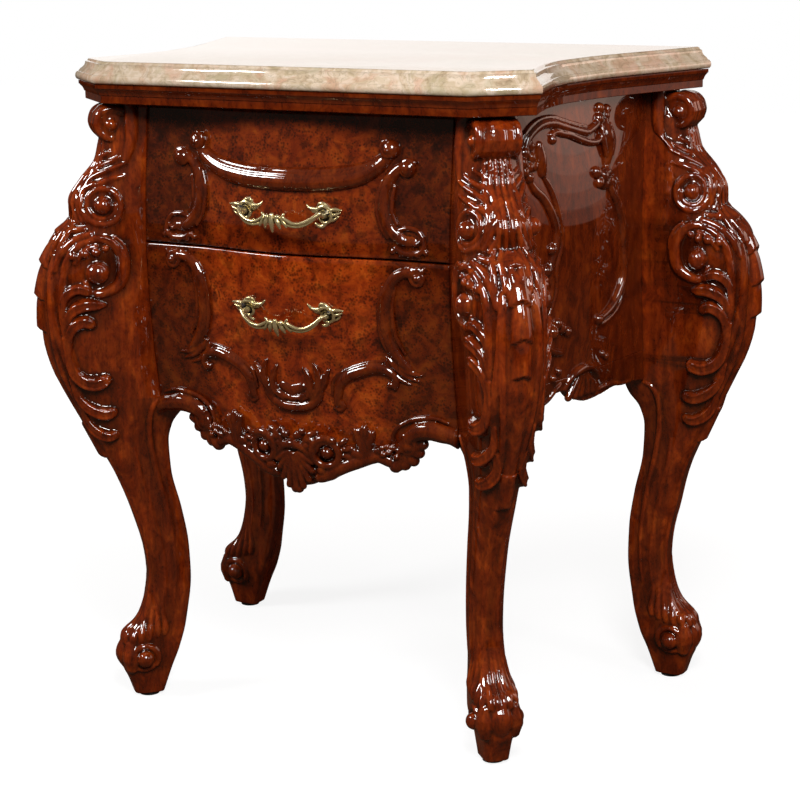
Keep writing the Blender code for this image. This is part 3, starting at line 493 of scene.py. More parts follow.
def burl_veneer():
    """Root wood in 24 mm clouds of red-brown, peppered with dark eyes in cells of under 3 mm.

    Its stain is darker at the sides, outside the carved frames, and on the upper drawer; it is also drawn
    darker towards the top of the upper drawer.
    """
    material, tree = new_material("burl_veneer_lacquer")
    where = add(tree, "ShaderNodeTexCoord").outputs["Object"]
    cloud = add(tree, "ShaderNodeTexNoise", {"Vector": where, "Scale": cells(23.81), "Detail": 9.0,
                                             "Roughness": 0.72, "Distortion": 0.6}).outputs["Fac"]
    ground = add(tree, "ShaderNodeValToRGB", {"Fac": cloud}, stops=[
        (0.30, srgb("#3d1005")), (0.45, srgb("#742a0a")), (0.56, srgb("#8f3d10")), (0.72, srgb("#ab5a1c"))])
    eyes = add(tree, "ShaderNodeTexVoronoi", {"Vector": where, "Scale": cells(2.778), "Randomness": 1.0})
    spread = add(tree, "ShaderNodeTexNoise", {"Vector": where, "Scale": cells(16.67),
                                              "Detail": 5.0}).outputs["Fac"]
    size = add(tree, "ShaderNodeMapRange", {"Value": spread, "From Min": 0.40, "From Max": 0.68,
                                            "To Min": 0.08, "To Max": 0.58}).outputs[0]
    inside = add(tree, "ShaderNodeMath", {0: size, 1: eyes.outputs["Distance"]}, operation="SUBTRACT")
    eye = add(tree, "ShaderNodeMapRange", {"Value": inside.outputs[0], "From Min": -0.20, "From Max": 0.16,
                                           "To Min": 1.0, "To Max": 0.40}).outputs[0]
    place = add(tree, "ShaderNodeSeparateXYZ", {0: where})
    aside = add(tree, "ShaderNodeMath", {0: place.outputs["X"]}, operation="ABSOLUTE").outputs[0]
    margin = add(tree, "ShaderNodeMapRange", {"Value": aside, "From Min": 0.088, "From Max": 0.116,
                                              "To Min": 1.0, "To Max": 0.40}).outputs[0]
    height = place.outputs["Z"]
    # Drawn darker towards the top of the upper drawer, under the cornice
    above = add(tree, "ShaderNodeMapRange", {"Value": height, "From Min": 0.565, "From Max": 0.595,
                                             "To Min": 1.0, "To Max": 0.85}).outputs[0]
    upper = add(tree, "ShaderNodeMapRange", {"Value": height, "From Min": SPLIT - PLAY,
                                             "From Max": SPLIT + PLAY, "To Min": 1.1,
                                             "To Max": 0.78}).outputs[0]
    field = add(tree, "ShaderNodeMath", {0: margin, 1: above}, operation="MINIMUM").outputs[0]
    leaf = add(tree, "ShaderNodeMath", {0: field, 1: upper}, operation="MULTIPLY").outputs[0]
    patch = add(tree, "ShaderNodeTexNoise", {"Vector": where, "Scale": cells(10.53),
                                             "Detail": 3.0}).outputs["Fac"]
    stain = add(tree, "ShaderNodeMapRange", {"Value": patch, "From Min": 0.36, "From Max": 0.50,
                                             "To Min": 0.52, "To Max": 1.0}).outputs[0]
    tone = add(tree, "ShaderNodeMath", {0: leaf, 1: stain}, operation="MULTIPLY").outputs[0]
    shade = add(tree, "ShaderNodeMath", {0: tone, 1: eye}, operation="MULTIPLY").outputs[0]
    colour = add(tree, "ShaderNodeVectorMath", {0: ground.outputs[0], "Scale": shade},
                 operation="SCALE").outputs[0]
    bump = add(tree, "ShaderNodeBump", {"Height": cloud, "Strength": 0.02, "Distance": 0.0006})
    lacquered(colour, bump.outputs[0])
    return material


def polished_marble():
    """Pale beige stone in pink and grey-green drifts of a hand's length with fine veins, polished."""
    material, tree = new_material("polished_cream_marble")
    where = add(tree, "ShaderNodeTexCoord").outputs["Object"]
    warp = add(tree, "ShaderNodeTexNoise", {"Vector": where, "Scale": cells(111.1),
                                            "Detail": 4.0}).outputs["Color"]
    bent = add(tree, "ShaderNodeVectorMath", {0: where, 1: warp}, operation="ADD").outputs[0]
    cloud = add(tree, "ShaderNodeTexNoise", {"Vector": bent, "Scale": cells(62.5), "Detail": 7.0,
                                             "Roughness": 0.68}).outputs["Fac"]
    ground = add(tree, "ShaderNodeValToRGB", {"Fac": cloud}, stops=[
        (0.30, srgb("#968065")), (0.43, srgb("#b8a388")), (0.55, srgb("#cbb8a2")), (0.7, srgb("#d6c6b4"))])
    drift = add(tree, "ShaderNodeTexNoise",
                {"Vector": bent, "Scale": cells(142.9), "Detail": 3.0}).outputs["Fac"]
    pink = add(tree, "ShaderNodeMapRange", {"Value": drift, "From Min": 0.50, "From Max": 0.64,
                                            "To Min": 0.0, "To Max": 0.55}).outputs[0]
    rosy = add(tree, "ShaderNodeMix", {0: pink, 6: ground.outputs[0], 7: srgb("#c08f75")},
               data_type="RGBA").outputs[2]
    green = add(tree, "ShaderNodeMapRange", {"Value": drift, "From Min": 0.44, "From Max": 0.32,
                                             "To Min": 0.0, "To Max": 0.5}).outputs[0]
    mossy = add(tree, "ShaderNodeMix", {0: green, 6: rosy, 7: srgb("#948a66")}, data_type="RGBA").outputs[2]
    vein = add(tree, "ShaderNodeTexNoise",
               {"Vector": bent, "Scale": cells(38.46), "Detail": 5.0}).outputs["Fac"]
    fold = add(tree, "ShaderNodeMath", {0: vein, 1: 0.5}, operation="SUBTRACT").outputs[0]
    near = add(tree, "ShaderNodeMath", {0: fold}, operation="ABSOLUTE").outputs[0]
    line = add(tree, "ShaderNodeMapRange", {"Value": near, "From Min": 0.0, "From Max": 0.022,
                                            "To Min": 0.5, "To Max": 0.0}).outputs[0]
    colour = add(tree, "ShaderNodeMix", {0: line, 6: mossy, 7: srgb("#7d6f58")},
                 data_type="RGBA").outputs[2]
    add(tree, "ShaderNodeOutputMaterial", {"Surface": add(tree, "ShaderNodeBsdfPrincipled", {
        "Base Color": colour, "Roughness": 0.12, "Coat Weight": 1.0, "Coat IOR": 1.6,
        "Coat Roughness": 0.03}).outputs[0]})
    return material


def antique_brass():
    """Cast brass, rubbed pale on the high parts over a dark patina in the hollows."""
    material, tree = new_material("antique_cast_brass")
    where = add(tree, "ShaderNodeTexCoord").outputs["Object"]
    depth = add(tree, "ShaderNodeAttribute", attribute_name="hollow").outputs["Fac"]
    mottle = add(tree, "ShaderNodeTexNoise",
                 {"Vector": where, "Scale": cells(2.5), "Detail": 3.0}).outputs["Fac"]
    worn = add(tree, "ShaderNodeMath", {0: mottle, 1: 0.5, 2: depth}, operation="MULTIPLY_ADD").outputs[0]
    colour = add(tree, "ShaderNodeValToRGB", {"Fac": worn}, stops=[
        (0.0, srgb("#cdba8a")), (0.26, srgb("#98844f")), (0.48, srgb("#463821")), (0.75, srgb("#150f08"))])
    rough = add(tree, "ShaderNodeMapRange", {"Value": worn, "From Min": 0.1, "From Max": 0.8,
                                             "To Min": 0.24, "To Max": 0.6}).outputs[0]
    add(tree, "ShaderNodeOutputMaterial", {"Surface": add(tree, "ShaderNodeBsdfPrincipled", {
        "Base Color": colour.outputs[0], "Metallic": 0.75, "Roughness": rough}).outputs[0]})
    return material


def oiled_lining():
    """Planed and oiled pale wood, with growth lines about 4 mm apart that run from front to back."""
    material, tree = new_material("drawer_lining_wood")
    where = add(tree, "ShaderNodeTexCoord").outputs["Object"]
    along = add(tree, "ShaderNodeMapping", {"Vector": where, "Scale": (260, 18, 260)}).outputs[0]
    lines = add(tree, "ShaderNodeTexNoise", {"Vector": along, "Scale": 1.0, "Detail": 5.0,
                                             "Roughness": 0.55, "Distortion": 0.4}).outputs["Fac"]
    colour = add(tree, "ShaderNodeValToRGB", {"Fac": lines}, stops=[
        (0.3, srgb("#8a5f38")), (0.7, srgb("#b98a58"))])
    bump = add(tree, "ShaderNodeBump", {"Height": lines, "Strength": 0.1, "Distance": 0.0005})
    add(tree, "ShaderNodeOutputMaterial", {"Surface": add(tree, "ShaderNodeBsdfPrincipled", {
        "Base Color": colour.outputs[0], "Roughness": 0.55, "Normal": bump.outputs[0]}).outputs[0]})
    return material


def zinc_steel():
    """Zinc-plated steel, bright and faintly blotched."""
    material, tree = new_material("zinc_plated_steel")
    where = add(tree, "ShaderNodeTexCoord").outputs["Object"]
    blotch = add(tree, "ShaderNodeTexNoise", {"Vector": where, "Scale": cells(1.429)}).outputs["Fac"]
    colour = add(tree, "ShaderNodeValToRGB", {"Fac": blotch}, stops=[
        (0.3, srgb("#8f9094")), (0.7, srgb("#c2c3c6"))])
    add(tree, "ShaderNodeOutputMaterial", {"Surface": add(tree, "ShaderNodeBsdfPrincipled", {
        "Base Color": colour.outputs[0], "Metallic": 1.0, "Roughness": 0.32}).outputs[0]})
    return material


def black_nylon():
    """Black moulded nylon, dulled by dust in 2 mm specks."""
    material, tree = new_material("moulded_nylon")
    where = add(tree, "ShaderNodeTexCoord").outputs["Object"]
    dust = add(tree, "ShaderNodeTexNoise", {"Vector": where, "Scale": cells(2.0)}).outputs["Fac"]
    colour = add(tree, "ShaderNodeValToRGB", {"Fac": dust}, stops=[
        (0.3, srgb("#141414")), (0.8, srgb("#2c2a28"))])
    add(tree, "ShaderNodeOutputMaterial", {"Surface": add(tree, "ShaderNodeBsdfPrincipled", {
        "Base Color": colour.outputs[0], "Roughness": 0.5}).outputs[0]})
    return material


# How dark each copy is drawn, and how strong its upright streaks are: the applied carving is the darkest
MAHOGANY = stained_mahogany("carved_mahogany_lacquer", 0.99, 0.28)
MOULDED = stained_mahogany("moulded_mahogany_lacquer", 0.72, 0.0)
PANEL = stained_mahogany("panel_mahogany_lacquer", 0.72, 0.15)
APPLIED = stained_mahogany("applied_mahogany_lacquer", 0.55, 0.0)
BURL = burl_veneer()
MARBLE = polished_marble()
BRASS = antique_brass()
LINING = oiled_lining()
STEEL = zinc_steel()
NYLON = black_nylon()


# Shapes shared by the front and the legs

def edge_reach(z):
    """How far the drawer edges and the leg faces beside them stand forward at a height."""
    share = (z - SWELL_BOTTOM) / (SWELL_TOP - SWELL_BOTTOM)
    swell = np.where(share < 0, math.pi * share, np.sin(math.pi * share))
    return -FRONT_EDGE_Y + FRONT_SWELL * swell


def front_y(x, z):
    """The bombé face of the drawers."""
    near = np.clip(np.abs(x) / FRONT_BOW_HALF, 0, 1)
    return -(edge_reach(z) + FRONT_BOW * 0.5 * (1 + np.cos(math.pi * near)))


def on_front(x, z, lift):
    """A point of the drawers' face, across and up in millimetres, lifted off it."""
    return Vector((x * MM, float(front_y(x * MM, z * MM)) - lift, z * MM))


# Legs, drawn as reach from the middle of the foot, across, and height

# Reach of the outer and the inner edge by height, and half the thickness of the shank
OUTER = Course([(0.003, 0.0165), (0.022, 0.0230), (0.034, 0.0280), (0.046, 0.0285), (0.062, 0.0275),
                (0.071, 0.0225), (0.079, 0.0145), (0.087, 0.0085), (0.100, 0.0032), (0.120, -0.0012),
                (0.140, -0.0035), (0.160, -0.0020), (0.206, 0.0095), (0.245, 0.0235), (0.272, 0.0365),
                (0.305, 0.0525), (0.347, 0.0740), (0.375, 0.0865), (0.405, 0.0935), (0.440, 0.0955),
                (0.470, 0.0920), (0.495, 0.0830), (0.512, 0.0710), (0.522, 0.0625), (0.532, 0.0595),
                (0.545, 0.0590), (0.566, 0.0460), (0.586, 0.0300), (0.604, 0.0262), (0.616, 0.0230),
                (0.630, 0.0120), (0.648, 0.0040)])
INNER = Course([(0.003, -0.0150), (0.034, -0.0260), (0.085, -0.0430), (0.135, -0.0500),
                (0.167, -0.0490), (0.207, -0.0430), (0.253, -0.0330), (0.285, -0.0315),
                (0.305, -0.0360), (0.322, -0.0470), (0.335, -0.0500), (0.648, -0.0500)])
SHANK_HALF = Course([(0.003, 0.0130), (0.030, 0.0160), (0.052, 0.0215), (0.070, 0.0210), (0.086, 0.0188),
                     (0.104, 0.0175), (0.135, 0.0170), (0.200, 0.0175), (0.280, 0.0200), (0.318, 0.0240),
                     (0.335, 0.02585)])
# The shank narrows towards its inner edge: half thickness there as a share
INNER_SHARE = Course([(0.003, 1.0), (0.040, 0.90), (0.080, 0.72), (0.135, 0.62), (0.280, 0.60),
                      (0.308, 0.72), (0.335, 1.0), (0.648, 1.0)])
# Where the rounding of the outer edge begins, and how blunt it is: 2 is an ellipse
NOSE_START = Course([(0.003, 0.004), (0.050, 0.010), (0.090, -0.012), (0.135, -0.024), (0.206, -0.014),
                     (0.274, 0.010), (0.335, 0.022), (0.375, 0.036), (0.420, 0.044), (0.470, 0.046),
                     (0.500, 0.036), (0.520, 0.018), (0.545, 0.006), (0.575, 0.000), (0.600, -0.008),
                     (0.618, -0.018), (0.648, -0.020)])
NOSE_POWER = Course([(0.003, 3.6), (0.05, 2.6), (0.135, 2.5), (0.335, 2.2), (0.45, 2.0), (0.52, 2.1),
                     (0.59, 2.1), (0.648, 3.5)])
LEG_CORNER = 0.006
LEG_RINGS = 150
# How far behind its middle a rear leg is cut flat
REAR_BACK = 0.016
# Step at which the slope of a leg is measured
SLOPE_STEP = 0.0006
# The rolled top scroll: its middle, half its length, and half of it edge on as (across, radius)
SCROLL_UP = 626
SCROLL_REACH = 15
SCROLL_HALF = 21.5
SCROLL_ROLL = [(0, 20.4), (5.5, 20.2), (7.4, 19.2), (9, 19.8), (14, 19.4), (18, 17.8), (20.5, 15.5),
               (22.0, 12.5)]
# Overlapping scales of the plume: top, foot, half width at both, height at both
PLUME = [(523, 506, 16.0, 19.0, 4.0, 8.6), (513, 478, 11.0, 12.0, 2.0, 8.4),
         (490, 445, 11.4, 11.4, 1.5, 7.6), (456, 411, 11.4, 10.6, 1.5, 6.6),
         (420, 305, 10.4, 8.4, 1.0, 3.2), (311, 270, 9.6, 8.6, 5.0, 5.6)]
# A scale's foot is arched by this, and its runs lie at this share of its half width
SCALE_ARCH = 5.5
SCALE_SPREAD = 0.58
# How far the rear legs are drawn in at each height, from where, and over which length
DRAW_IN = Course([(0.19, 0.0), (0.25, 0.0045), (0.30, 0.0055), (0.345, 0.0065), (0.40, 0.0050),
                  (0.50, 0.0035), (0.525, 0.0065), (0.555, 0.0075), (0.59, 0.0075), (0.648, 0.0085)])
DRAW_FROM = Course([(0.0, -0.010), (0.30, -0.005), (0.40, 0.020), (0.555, 0.030), (0.59, 0.0),
                    (0.61, -0.040)])
DRAW_OVER = 0.026


def leg_half(reach, z):
    """Half thickness of the uncarved leg; flush with the drawer edges beside it."""
    start, inner = NOSE_START(z), INNER(z)
    share = np.clip((reach - start) / (OUTER(z) - start), 0, 1)
    power = NOSE_POWER(z)
    behind = np.clip((start - reach) / (start - inner), 0, 1)
    return leg_wide(z) * (1 - share ** power) ** (1 / power) * (1 - (1 - INNER_SHARE(z)) * behind ** 1.5)


def leg_wide(z):
    """Half thickness where the leg is widest."""
    aside = DRAWER_HALF + DRAWER_SIDE_GAP - FRONT_FOOT.x
    flush = (edge_reach(z) + FRONT_FOOT.y - aside) * math.sqrt(0.5)
    return np.where(z >= POST_BOTTOM, flush, SHANK_HALF(z))


def nose_reach(across, z):
    """Reach of the rounded outer edge at a distance from the leg's middle plane."""
    start = NOSE_START(z)
    power = NOSE_POWER(z)
    share = np.clip(np.abs(across) / leg_wide(z), 0, 1)
    return start + (OUTER(z) - start) * (1 - share ** power) ** (1 / power)


def leg_blank():
    """The uncarved leg as a skin over rings, in reach, across and height."""
    heights = np.linspace(FOOT_BOTTOM, LEG_TOP, LEG_RINGS)
    turn = np.linspace(0, math.pi / 2, 15)
    rings = []
    for z in heights:
        inner, wide, start, out = INNER(z), leg_wide(z), NOSE_START(z), OUTER(z)
        power = 2 / NOSE_POWER(z)
        corner = min(LEG_CORNER, wide * 0.4)
        edge = float(leg_half(inner + corner, z))
        half = [(inner, edge - corner), (inner + 0.3 * corner, edge - 0.3 * corner), (inner + corner, edge)]
        half += [(reach, float(leg_half(reach, z)))
                 for reach in np.linspace(inner + corner, start, 9)[1:-1]]
        half += [(start + (out - start) * math.sin(a) ** power, wide * math.cos(a) ** power)
                 for a in turn[:-1]]
        ring = [(reach, across, z) for reach, across in half] + [(out, 0.0, z)]
        ring += [(reach, -across, z) for reach, across in reversed(half)]
        rings.append(ring)
    return shell("leg_blank", *loft(rings))


def on_leg(side):
    """A carved face of a leg: reach and height in millimetres, lifted off the face."""
    def place(reach, up, lift):
        z = up * MM
        reach = min(reach * MM, float(OUTER(z)) - 2 * SLOPE_STEP)
        across = leg_half(reach, z)
        slope = (leg_half(reach + SLOPE_STEP, z) - leg_half(reach - SLOPE_STEP, z)) / (2 * SLOPE_STEP)
        fall = (leg_half(reach, z + SLOPE_STEP) - leg_half(reach, z - SLOPE_STEP)) / (2 * SLOPE_STEP)
        out = Vector((-float(slope), 1.0, -float(fall))).normalized()
        point = Vector((reach, float(across), z)) + out * lift
        return Vector((point.x, side * point.y, point.z))
    return place


def on_nose(across, up, lift):
    """The outer edge of a leg: distance from its middle plane and height, in millimetres."""
    aside, z = across * MM, up * MM
    reach = nose_reach(aside, z)
    slope = (nose_reach(aside + SLOPE_STEP, z) - nose_reach(aside - SLOPE_STEP, z)) / (2 * SLOPE_STEP)
    fall = (nose_reach(aside, z + SLOPE_STEP) - nose_reach(aside, z - SLOPE_STEP)) / (2 * SLOPE_STEP)
    out = Vector((1.0, -float(slope), -float(fall))).normalized()
    return Vector((float(reach), aside, z)) + out * lift


def in_toe(reach, up, lift):
    """The middle plane of a leg, where the block of the toe lies."""
    return Vector((reach * MM, lift, up * MM))


def on_scroll(side):
    """The flat end of the top scroll: reach and height, lifted off it."""
    return lambda reach, up, lift: Vector((reach * MM, side * (SCROLL_HALF * MM + lift), up * MM))


def leg_face_carving(side):
    """The carving of one face, from the top scroll down to the foot."""
    face = on_leg(side)
    # Top scroll: a band that rises from the waist and rolls in to a button
    runs = ridge(face, [(5, 588, 3.0), (1, 600, 5.0), (-2, 612, 6.4), (-3, 626, 7.0), (-3, 648, 7.0)], 0.75)
    runs += ridge(on_scroll(side), [(-2, 616, 5.0), (-2, 628, 5.0), (5, 638, 4.8), (16, 641, 4.6),
                                    (27, 637, 4.4), (31, 626, 4.2), (27, 616, 3.8), (18, 611, 3.4),
                                    (10, 616, 3.2), (8, 625, 3.0), (13, 633, 2.6), (20, 632, 2.4)], 0.4)
    runs += bead(on_scroll(side), 17, 625, 6.4, 0.8)
    # Fine reeds that leave the waist at a leaf tip and flow round the big volute
    inner = np.array([(4, 587, 1.4), (20, 580, 2.4), (37, 571, 2.6), (47.5, 559, 2.6), (51, 544, 2.6),
                      (47, 528, 2.0)])
    outer = np.array([(19, 598, 1.4), (32, 587, 2.4), (46, 574, 2.6), (54, 560, 2.6), (57.5, 544, 2.6),
                      (55, 526, 2.0)])
    for share in (0.0, 0.5, 1.0):
        runs += ridge(face, [tuple(knot) for knot in inner + (outer - inner) * share], 1.45)
    runs += ridge(face, [(7, 573.5, 1.2), (17, 571.5, 2.4), (28, 567.5, 3.0), (36, 564, 3.2)], 0.9)
    runs += volute(face, (30.5, 544), (22.0, 12.5), 72, -1.7, (3.4, 2.4), 0.95)
    runs += bead(face, 30.5, 544, 9.4, 1.05)
    # Flutes of the collar, and the hood over the ball
    for knots in ([(50, 520, 2.6), (61, 517, 4.0), (72, 510, 4.4), (82, 499, 4.2), (88, 488, 3.0)],
                  [(44, 515.5, 2.4), (55, 511.5, 3.8), (66, 504, 4.2), (76, 492, 4.0), (82, 478, 2.6)],
                  [(42, 509, 2.2), (52, 506, 3.4), (62, 499, 3.8), (70, 488, 3.6), (75, 476, 2.4)],
                  [(40, 503, 2.0), (48, 501, 3.0), (56, 495, 3.2), (62, 486, 2.6)]):
        runs += ridge(face, knots, 1.15)
    for reach, up, radius in ((63, 493, 4.6), (52, 495.5, 4.8), (41, 496.5, 4.6), (31, 500, 3.4)):
        runs += bead(face, reach, up, radius, 1.3)
    # Broad band that curls round the ball
    runs += ridge(face, [(44, 511, 3.0), (30, 509, 4.8), (19, 501, 6.4), (13.5, 489, 7.2), (13.5, 475, 7.2),
                         (18, 463, 6.8), (28, 456, 5.8), (40, 453, 4.8), (49, 457, 3.6), (53, 466, 2.6)],
                  0.85)
    runs += ridge(face, [(33, 512, 1.2), (24, 508, 1.5), (18, 499, 1.6), (16, 488, 1.2)], 4.2)
    runs += ridge(face, [(22, 513, 1.2), (14, 506, 1.5), (9, 496, 1.6), (7, 485, 1.2)], 3.2)
    runs += bead(face, 40, 475, 12.0, 1.0)
    # Reeds of the outer band
    runs += ridge(face, [(79, 497, 2.0), (85, 480, 4.0), (87, 460, 5.0), (87, 440, 5.0), (84, 418, 5.0),
                         (79, 396, 4.6), (72, 374, 4.2), (64, 352, 3.6), (55, 330, 3.0), (46, 308, 2.0)],
                  0.7)
    runs += ridge(face, [(66, 490, 2.0), (73, 477, 4.0), (76, 460, 4.6), (77, 440, 4.6), (76, 420, 4.6),
                         (72, 400, 4.2), (66, 380, 3.6), (58, 360, 2.6)], 0.7)
    # Leaf fingers with blunt tips that bend inwards
    runs += fluted(face, [(76, 430, 2.4), (75, 445, 4.0), (69, 455, 5.4), (60, 459, 5.8), (51, 456, 5.0)],
                   1.05)
    runs += fluted(face, [(74, 408, 2.4), (72, 426, 4.4), (65, 437, 6.6), (54, 442, 7.4), (43, 441.5, 5.8),
                          (34, 441, 2.4)], 1.0)
    runs += fluted(face, [(71, 392, 3.0), (71, 408, 4.8), (66, 419, 6.4), (57, 424.5, 7.0), (50, 422, 6.2)],
                   1.05)
    runs += fluted(face, [(75, 408, 3.6), (73, 394, 4.6), (70, 380, 5.6), (65, 368, 6.6), (57, 360.5, 7.8),
                          (48, 357.5, 8.6), (41, 358.5, 8.2), (37, 360, 7.4)], 1.0)
    runs += fluted(face, [(70, 362, 2.6), (64, 345, 4.0), (56, 334, 5.6), (47, 327, 6.8), (38, 323.5, 7.4),
                          (31, 324, 6.8)], 1.0)
    runs += fluted(face, [(61, 335, 2.4), (55, 318, 3.8), (48, 307.5, 5.4), (41, 301, 6.4), (34, 298, 6.6),
                          (29, 298.5, 6.0)], 1.0)
    # Bead along the arch, running down the inner edge of the shank
    runs += ridge(face, [(-26, 335, 1.6), (-18, 332, 2.6), (-12, 324, 3.2), (-9, 310, 3.4), (-10, 285, 3.4),
                         (-15, 255, 3.2), (-23, 220, 2.8), (-30, 180, 2.4), (-32, 140, 2.0),
                         (-29, 108, 1.4)], 0.8)
    runs += ridge(face, [(8, 282, 1.6), (2, 250, 2.8), (-8, 210, 2.8), (-17, 170, 2.4), (-20, 135, 2.2),
                         (-17, 108, 1.6)], 0.55)
    # Foot: a ragged collar of leaf tips over a ball set in a ring
    for reach, up, lean in ((-17, 78, -1), (-9, 76, 0), (0, 73.5, 2), (9, 72, 4), (18, 71, 6)):
        runs += ridge(face, [(reach - 2 * lean, up + 28, 0.6), (reach - lean, up + 14, 1.9),
                             (reach, up + 2, 3.6), (reach + 1, up - 5, 2.8)], 1.0)
    runs += volute(face, (6, 46), (14.5, 13.5), 215, -1.0, (3.4, 3.0), 0.9)
    runs += bead(face, 6, 46, 9.4, 1.05)
    return runs


def leg_nose_carving():
    """What is seen of the leg edge on: the scroll, reeds, the scales of the plume, the toe."""
    roll = [(-across, radius) for across, radius in SCROLL_ROLL[:0:-1]] + SCROLL_ROLL
    runs = [[(Vector((SCROLL_REACH * MM, across * MM, SCROLL_UP * MM)), radius * MM)
             for across, radius in roll]]
    for top, foot, *shape in PLUME:
        for turn in np.radians((-66, -44, -22, 0, 22, 44, 66)):
            run = []
            for share in np.linspace(0, 1, 11):
                wide = shape[0] + (shape[1] - shape[0]) * share
                high = shape[2] + (shape[3] - shape[2]) * math.sqrt(share)
                up = top + (foot + SCALE_ARCH * math.cos(turn) ** 2 - top) * share
                lift = high - wide * (1 - SCALE_SPREAD * math.cos(turn))
                run.append((on_nose(SCALE_SPREAD * wide * math.sin(turn), up, lift * MM),
                            (1 - SCALE_SPREAD) * wide * MM))
            runs += [run]
    # Reeds of the nose, flutes of the collar, the plume's edges and the shank's ribs
    for side in (-1, 1):
        for across in (3.2, 9.4, 15.6):
            runs += ridge(on_nose, [(side * across * 0.75, 612, 1.4), (side * across * 0.9, 586, 2.4),
                                    (side * across, 560, 2.7), (side * across * 1.1, 530, 1.8)], 1.35)
        for across in (4.0, 10.5, 17.0):
            runs += ridge(on_nose, [(side * across * 0.8, 527, 1.6), (side * across, 518, 3.0),
                                    (side * across * 1.1, 505, 3.2), (side * across * 1.15, 492, 2.0)], 2.0)
        runs += ridge(on_nose, [(side * 17, 492, 2.4), (side * 18, 470, 3.6), (side * 18, 430, 3.8),
                                (side * 16, 390, 3.4), (side * 12, 350, 3.0), (side * 9, 315, 2.2)], 0.8)
        runs += ridge(on_nose, [(side * 7, 268, 1.4), (side * 7, 230, 2.4), (side * 7, 170, 2.4),
                                (side * 8, 120, 2.0), (side * 11, 90, 2.6), (side * 13, 70, 3.4)], 0.6)
    # Toe: ribs that flare over a rounded block
    for across in (-17, -10, -3.4, 3.4, 10, 17):
        runs += ridge(on_nose, [(across * 0.62, 114, 0.6), (across * 0.68, 100, 1.3),
                                (across * 0.74, 88, 1.9), (across * 0.85, 77, 2.7), (across, 69, 3.6),
                                (across * 1.02, 64, 2.4)], 1.15)
    runs += ridge(in_toe, [(20, 58, 12.0), (22, 49, 13.5), (19, 38, 11.0)], 1.0)
    for side in (-1, 1):
        run = [(Vector((20 * MM, side * 15 * MM, up * MM)), girth * MM)
               for up, girth in ((60, 7.0), (52, 10.0), (44, 10.0), (36, 7.0))]
        runs += [rounded(run)]
    return runs


def passage():
    """The room that the drawers slide through, which the front legs keep clear of."""
    half = DRAWER_HALF + DRAWER_SIDE_GAP
    return (-half, -FAR, PASSAGE_BOTTOM), (half, FAR, LEG_TOP + FAR)


def draw_in(mesh):
    """The rear legs reach less far out than the front ones, most of all at the top scroll."""
    points = np.empty(len(mesh.vertices) * 3)
    mesh.vertices.foreach_get("co", points)
    points = points.reshape(-1, 3)
    reach, _, z = points.T
    share = np.clip((reach - DRAW_FROM(z)) / DRAW_OVER, 0, 1)
    points[:, 0] -= DRAW_IN(z) * share * share * (3 - 2 * share)
    mesh.vertices.foreach_set("co", points.ravel())
    mesh.update()


def legs():
    """One carved leg, fused once, then turned, cut and mirrored for the four corners."""
    blank = leg_blank()
    carving = leg_nose_carving() + leg_face_carving(1) + leg_face_carving(-1)
    carved = fused("leg", [blank, tubes("leg_carving", carving, MAHOGANY)], LEG_VOXEL, 3, LEG_THIN)
    above = ((-FAR, -FAR, LEG_TOP), (FAR, FAR, LEG_TOP + FAR))
    below = ((-FAR, -FAR, -FAR), (FAR, FAR, FOOT_BOTTOM))
    # From below the floor to above the top
    behind = ((-FAR, REAR_BACK, -0.2), (FAR, FAR, 1.0))
    front = carved.copy()
    turned = Matrix.Rotation(math.radians(-45), 4, "Z")
    front.transform(Matrix.Translation((FRONT_FOOT.x, FRONT_FOOT.y, 0)) @ turned)
    front = cut(front, [passage(), above, below])
    draw_in(carved)
    rear = cut(carved, [behind, above, below])
    rear.transform(Matrix.Translation((REAR_FOOT.x, REAR_FOOT.y, 0)))
    for name, mesh in (("front", front), ("rear", rear)):
        mark_hollows(mesh, HOLLOW_DEPTH)
        piece("carved_leg_%s_right" % name, mesh, "case", ["leg_%s_right" % name], MAHOGANY)
        piece("carved_leg_%s_left" % name, mirrored(mesh), "case", ["leg_%s_left" % name],
              MAHOGANY)


legs()


# Marble top

TOP_FRONT_HALF = FRONT_FOOT.x + 0.002
TOP_SHOULDER = Vector((0.056, 0.046))
# How far the sides are hollowed, by share of their length, and the part of it inside the cornice
SIDE_HOLLOW = Course([(0, 0), (0.11, 0.0150), (0.23, 0.0290), (0.355, 0.0355), (0.51, 0.0345),
                      (0.66, 0.0260), (0.81, 0.0145), (1, 0)])
INSIDE_HOLLOW = 0.62
SIDE_STEPS = 25
CORNICE_HEIGHT = 19.0


def top_outline(inset, hollow=1.0):
    """The top in plan, moved in by inset, its sides hollowed; the back edge stays."""
    front = Vector((TOP_FRONT_HALF, MARBLE_LOW.y))
    corners = [front, front + TOP_SHOULDER, Vector((MARBLE_HIGH.x, MARBLE_HIGH.y))]
    corners += [Vector((-corner.x, corner.y)) for corner in reversed(corners)]
    lines = []
    for index, corner in enumerate(corners):
        along = (corners[(index + 1) % 6] - corner).normalized()
        inward = Vector((-along.y, along.x))
        lines.append((corner + inward * (0.0 if index == 2 else inset), along))
    moved = []
    for index in range(6):
        (p, along), (q, onward) = lines[index - 1], lines[index]
        gap = q - p
        cross = along.x * onward.y - along.y * onward.x
        moved.append(p + along * ((gap.x * onward.y - gap.y * onward.x) / cross))
    front, shoulder, rear = moved[:3]
    right = [tuple(front)]
    for share in np.linspace(0, 1, SIDE_STEPS):
        x, y = shoulder + (rear - shoulder) * share
        right.append((x - hollow * float(SIDE_HOLLOW(share)), y))
    return right + [(-x, y) for x, y in reversed(right)]


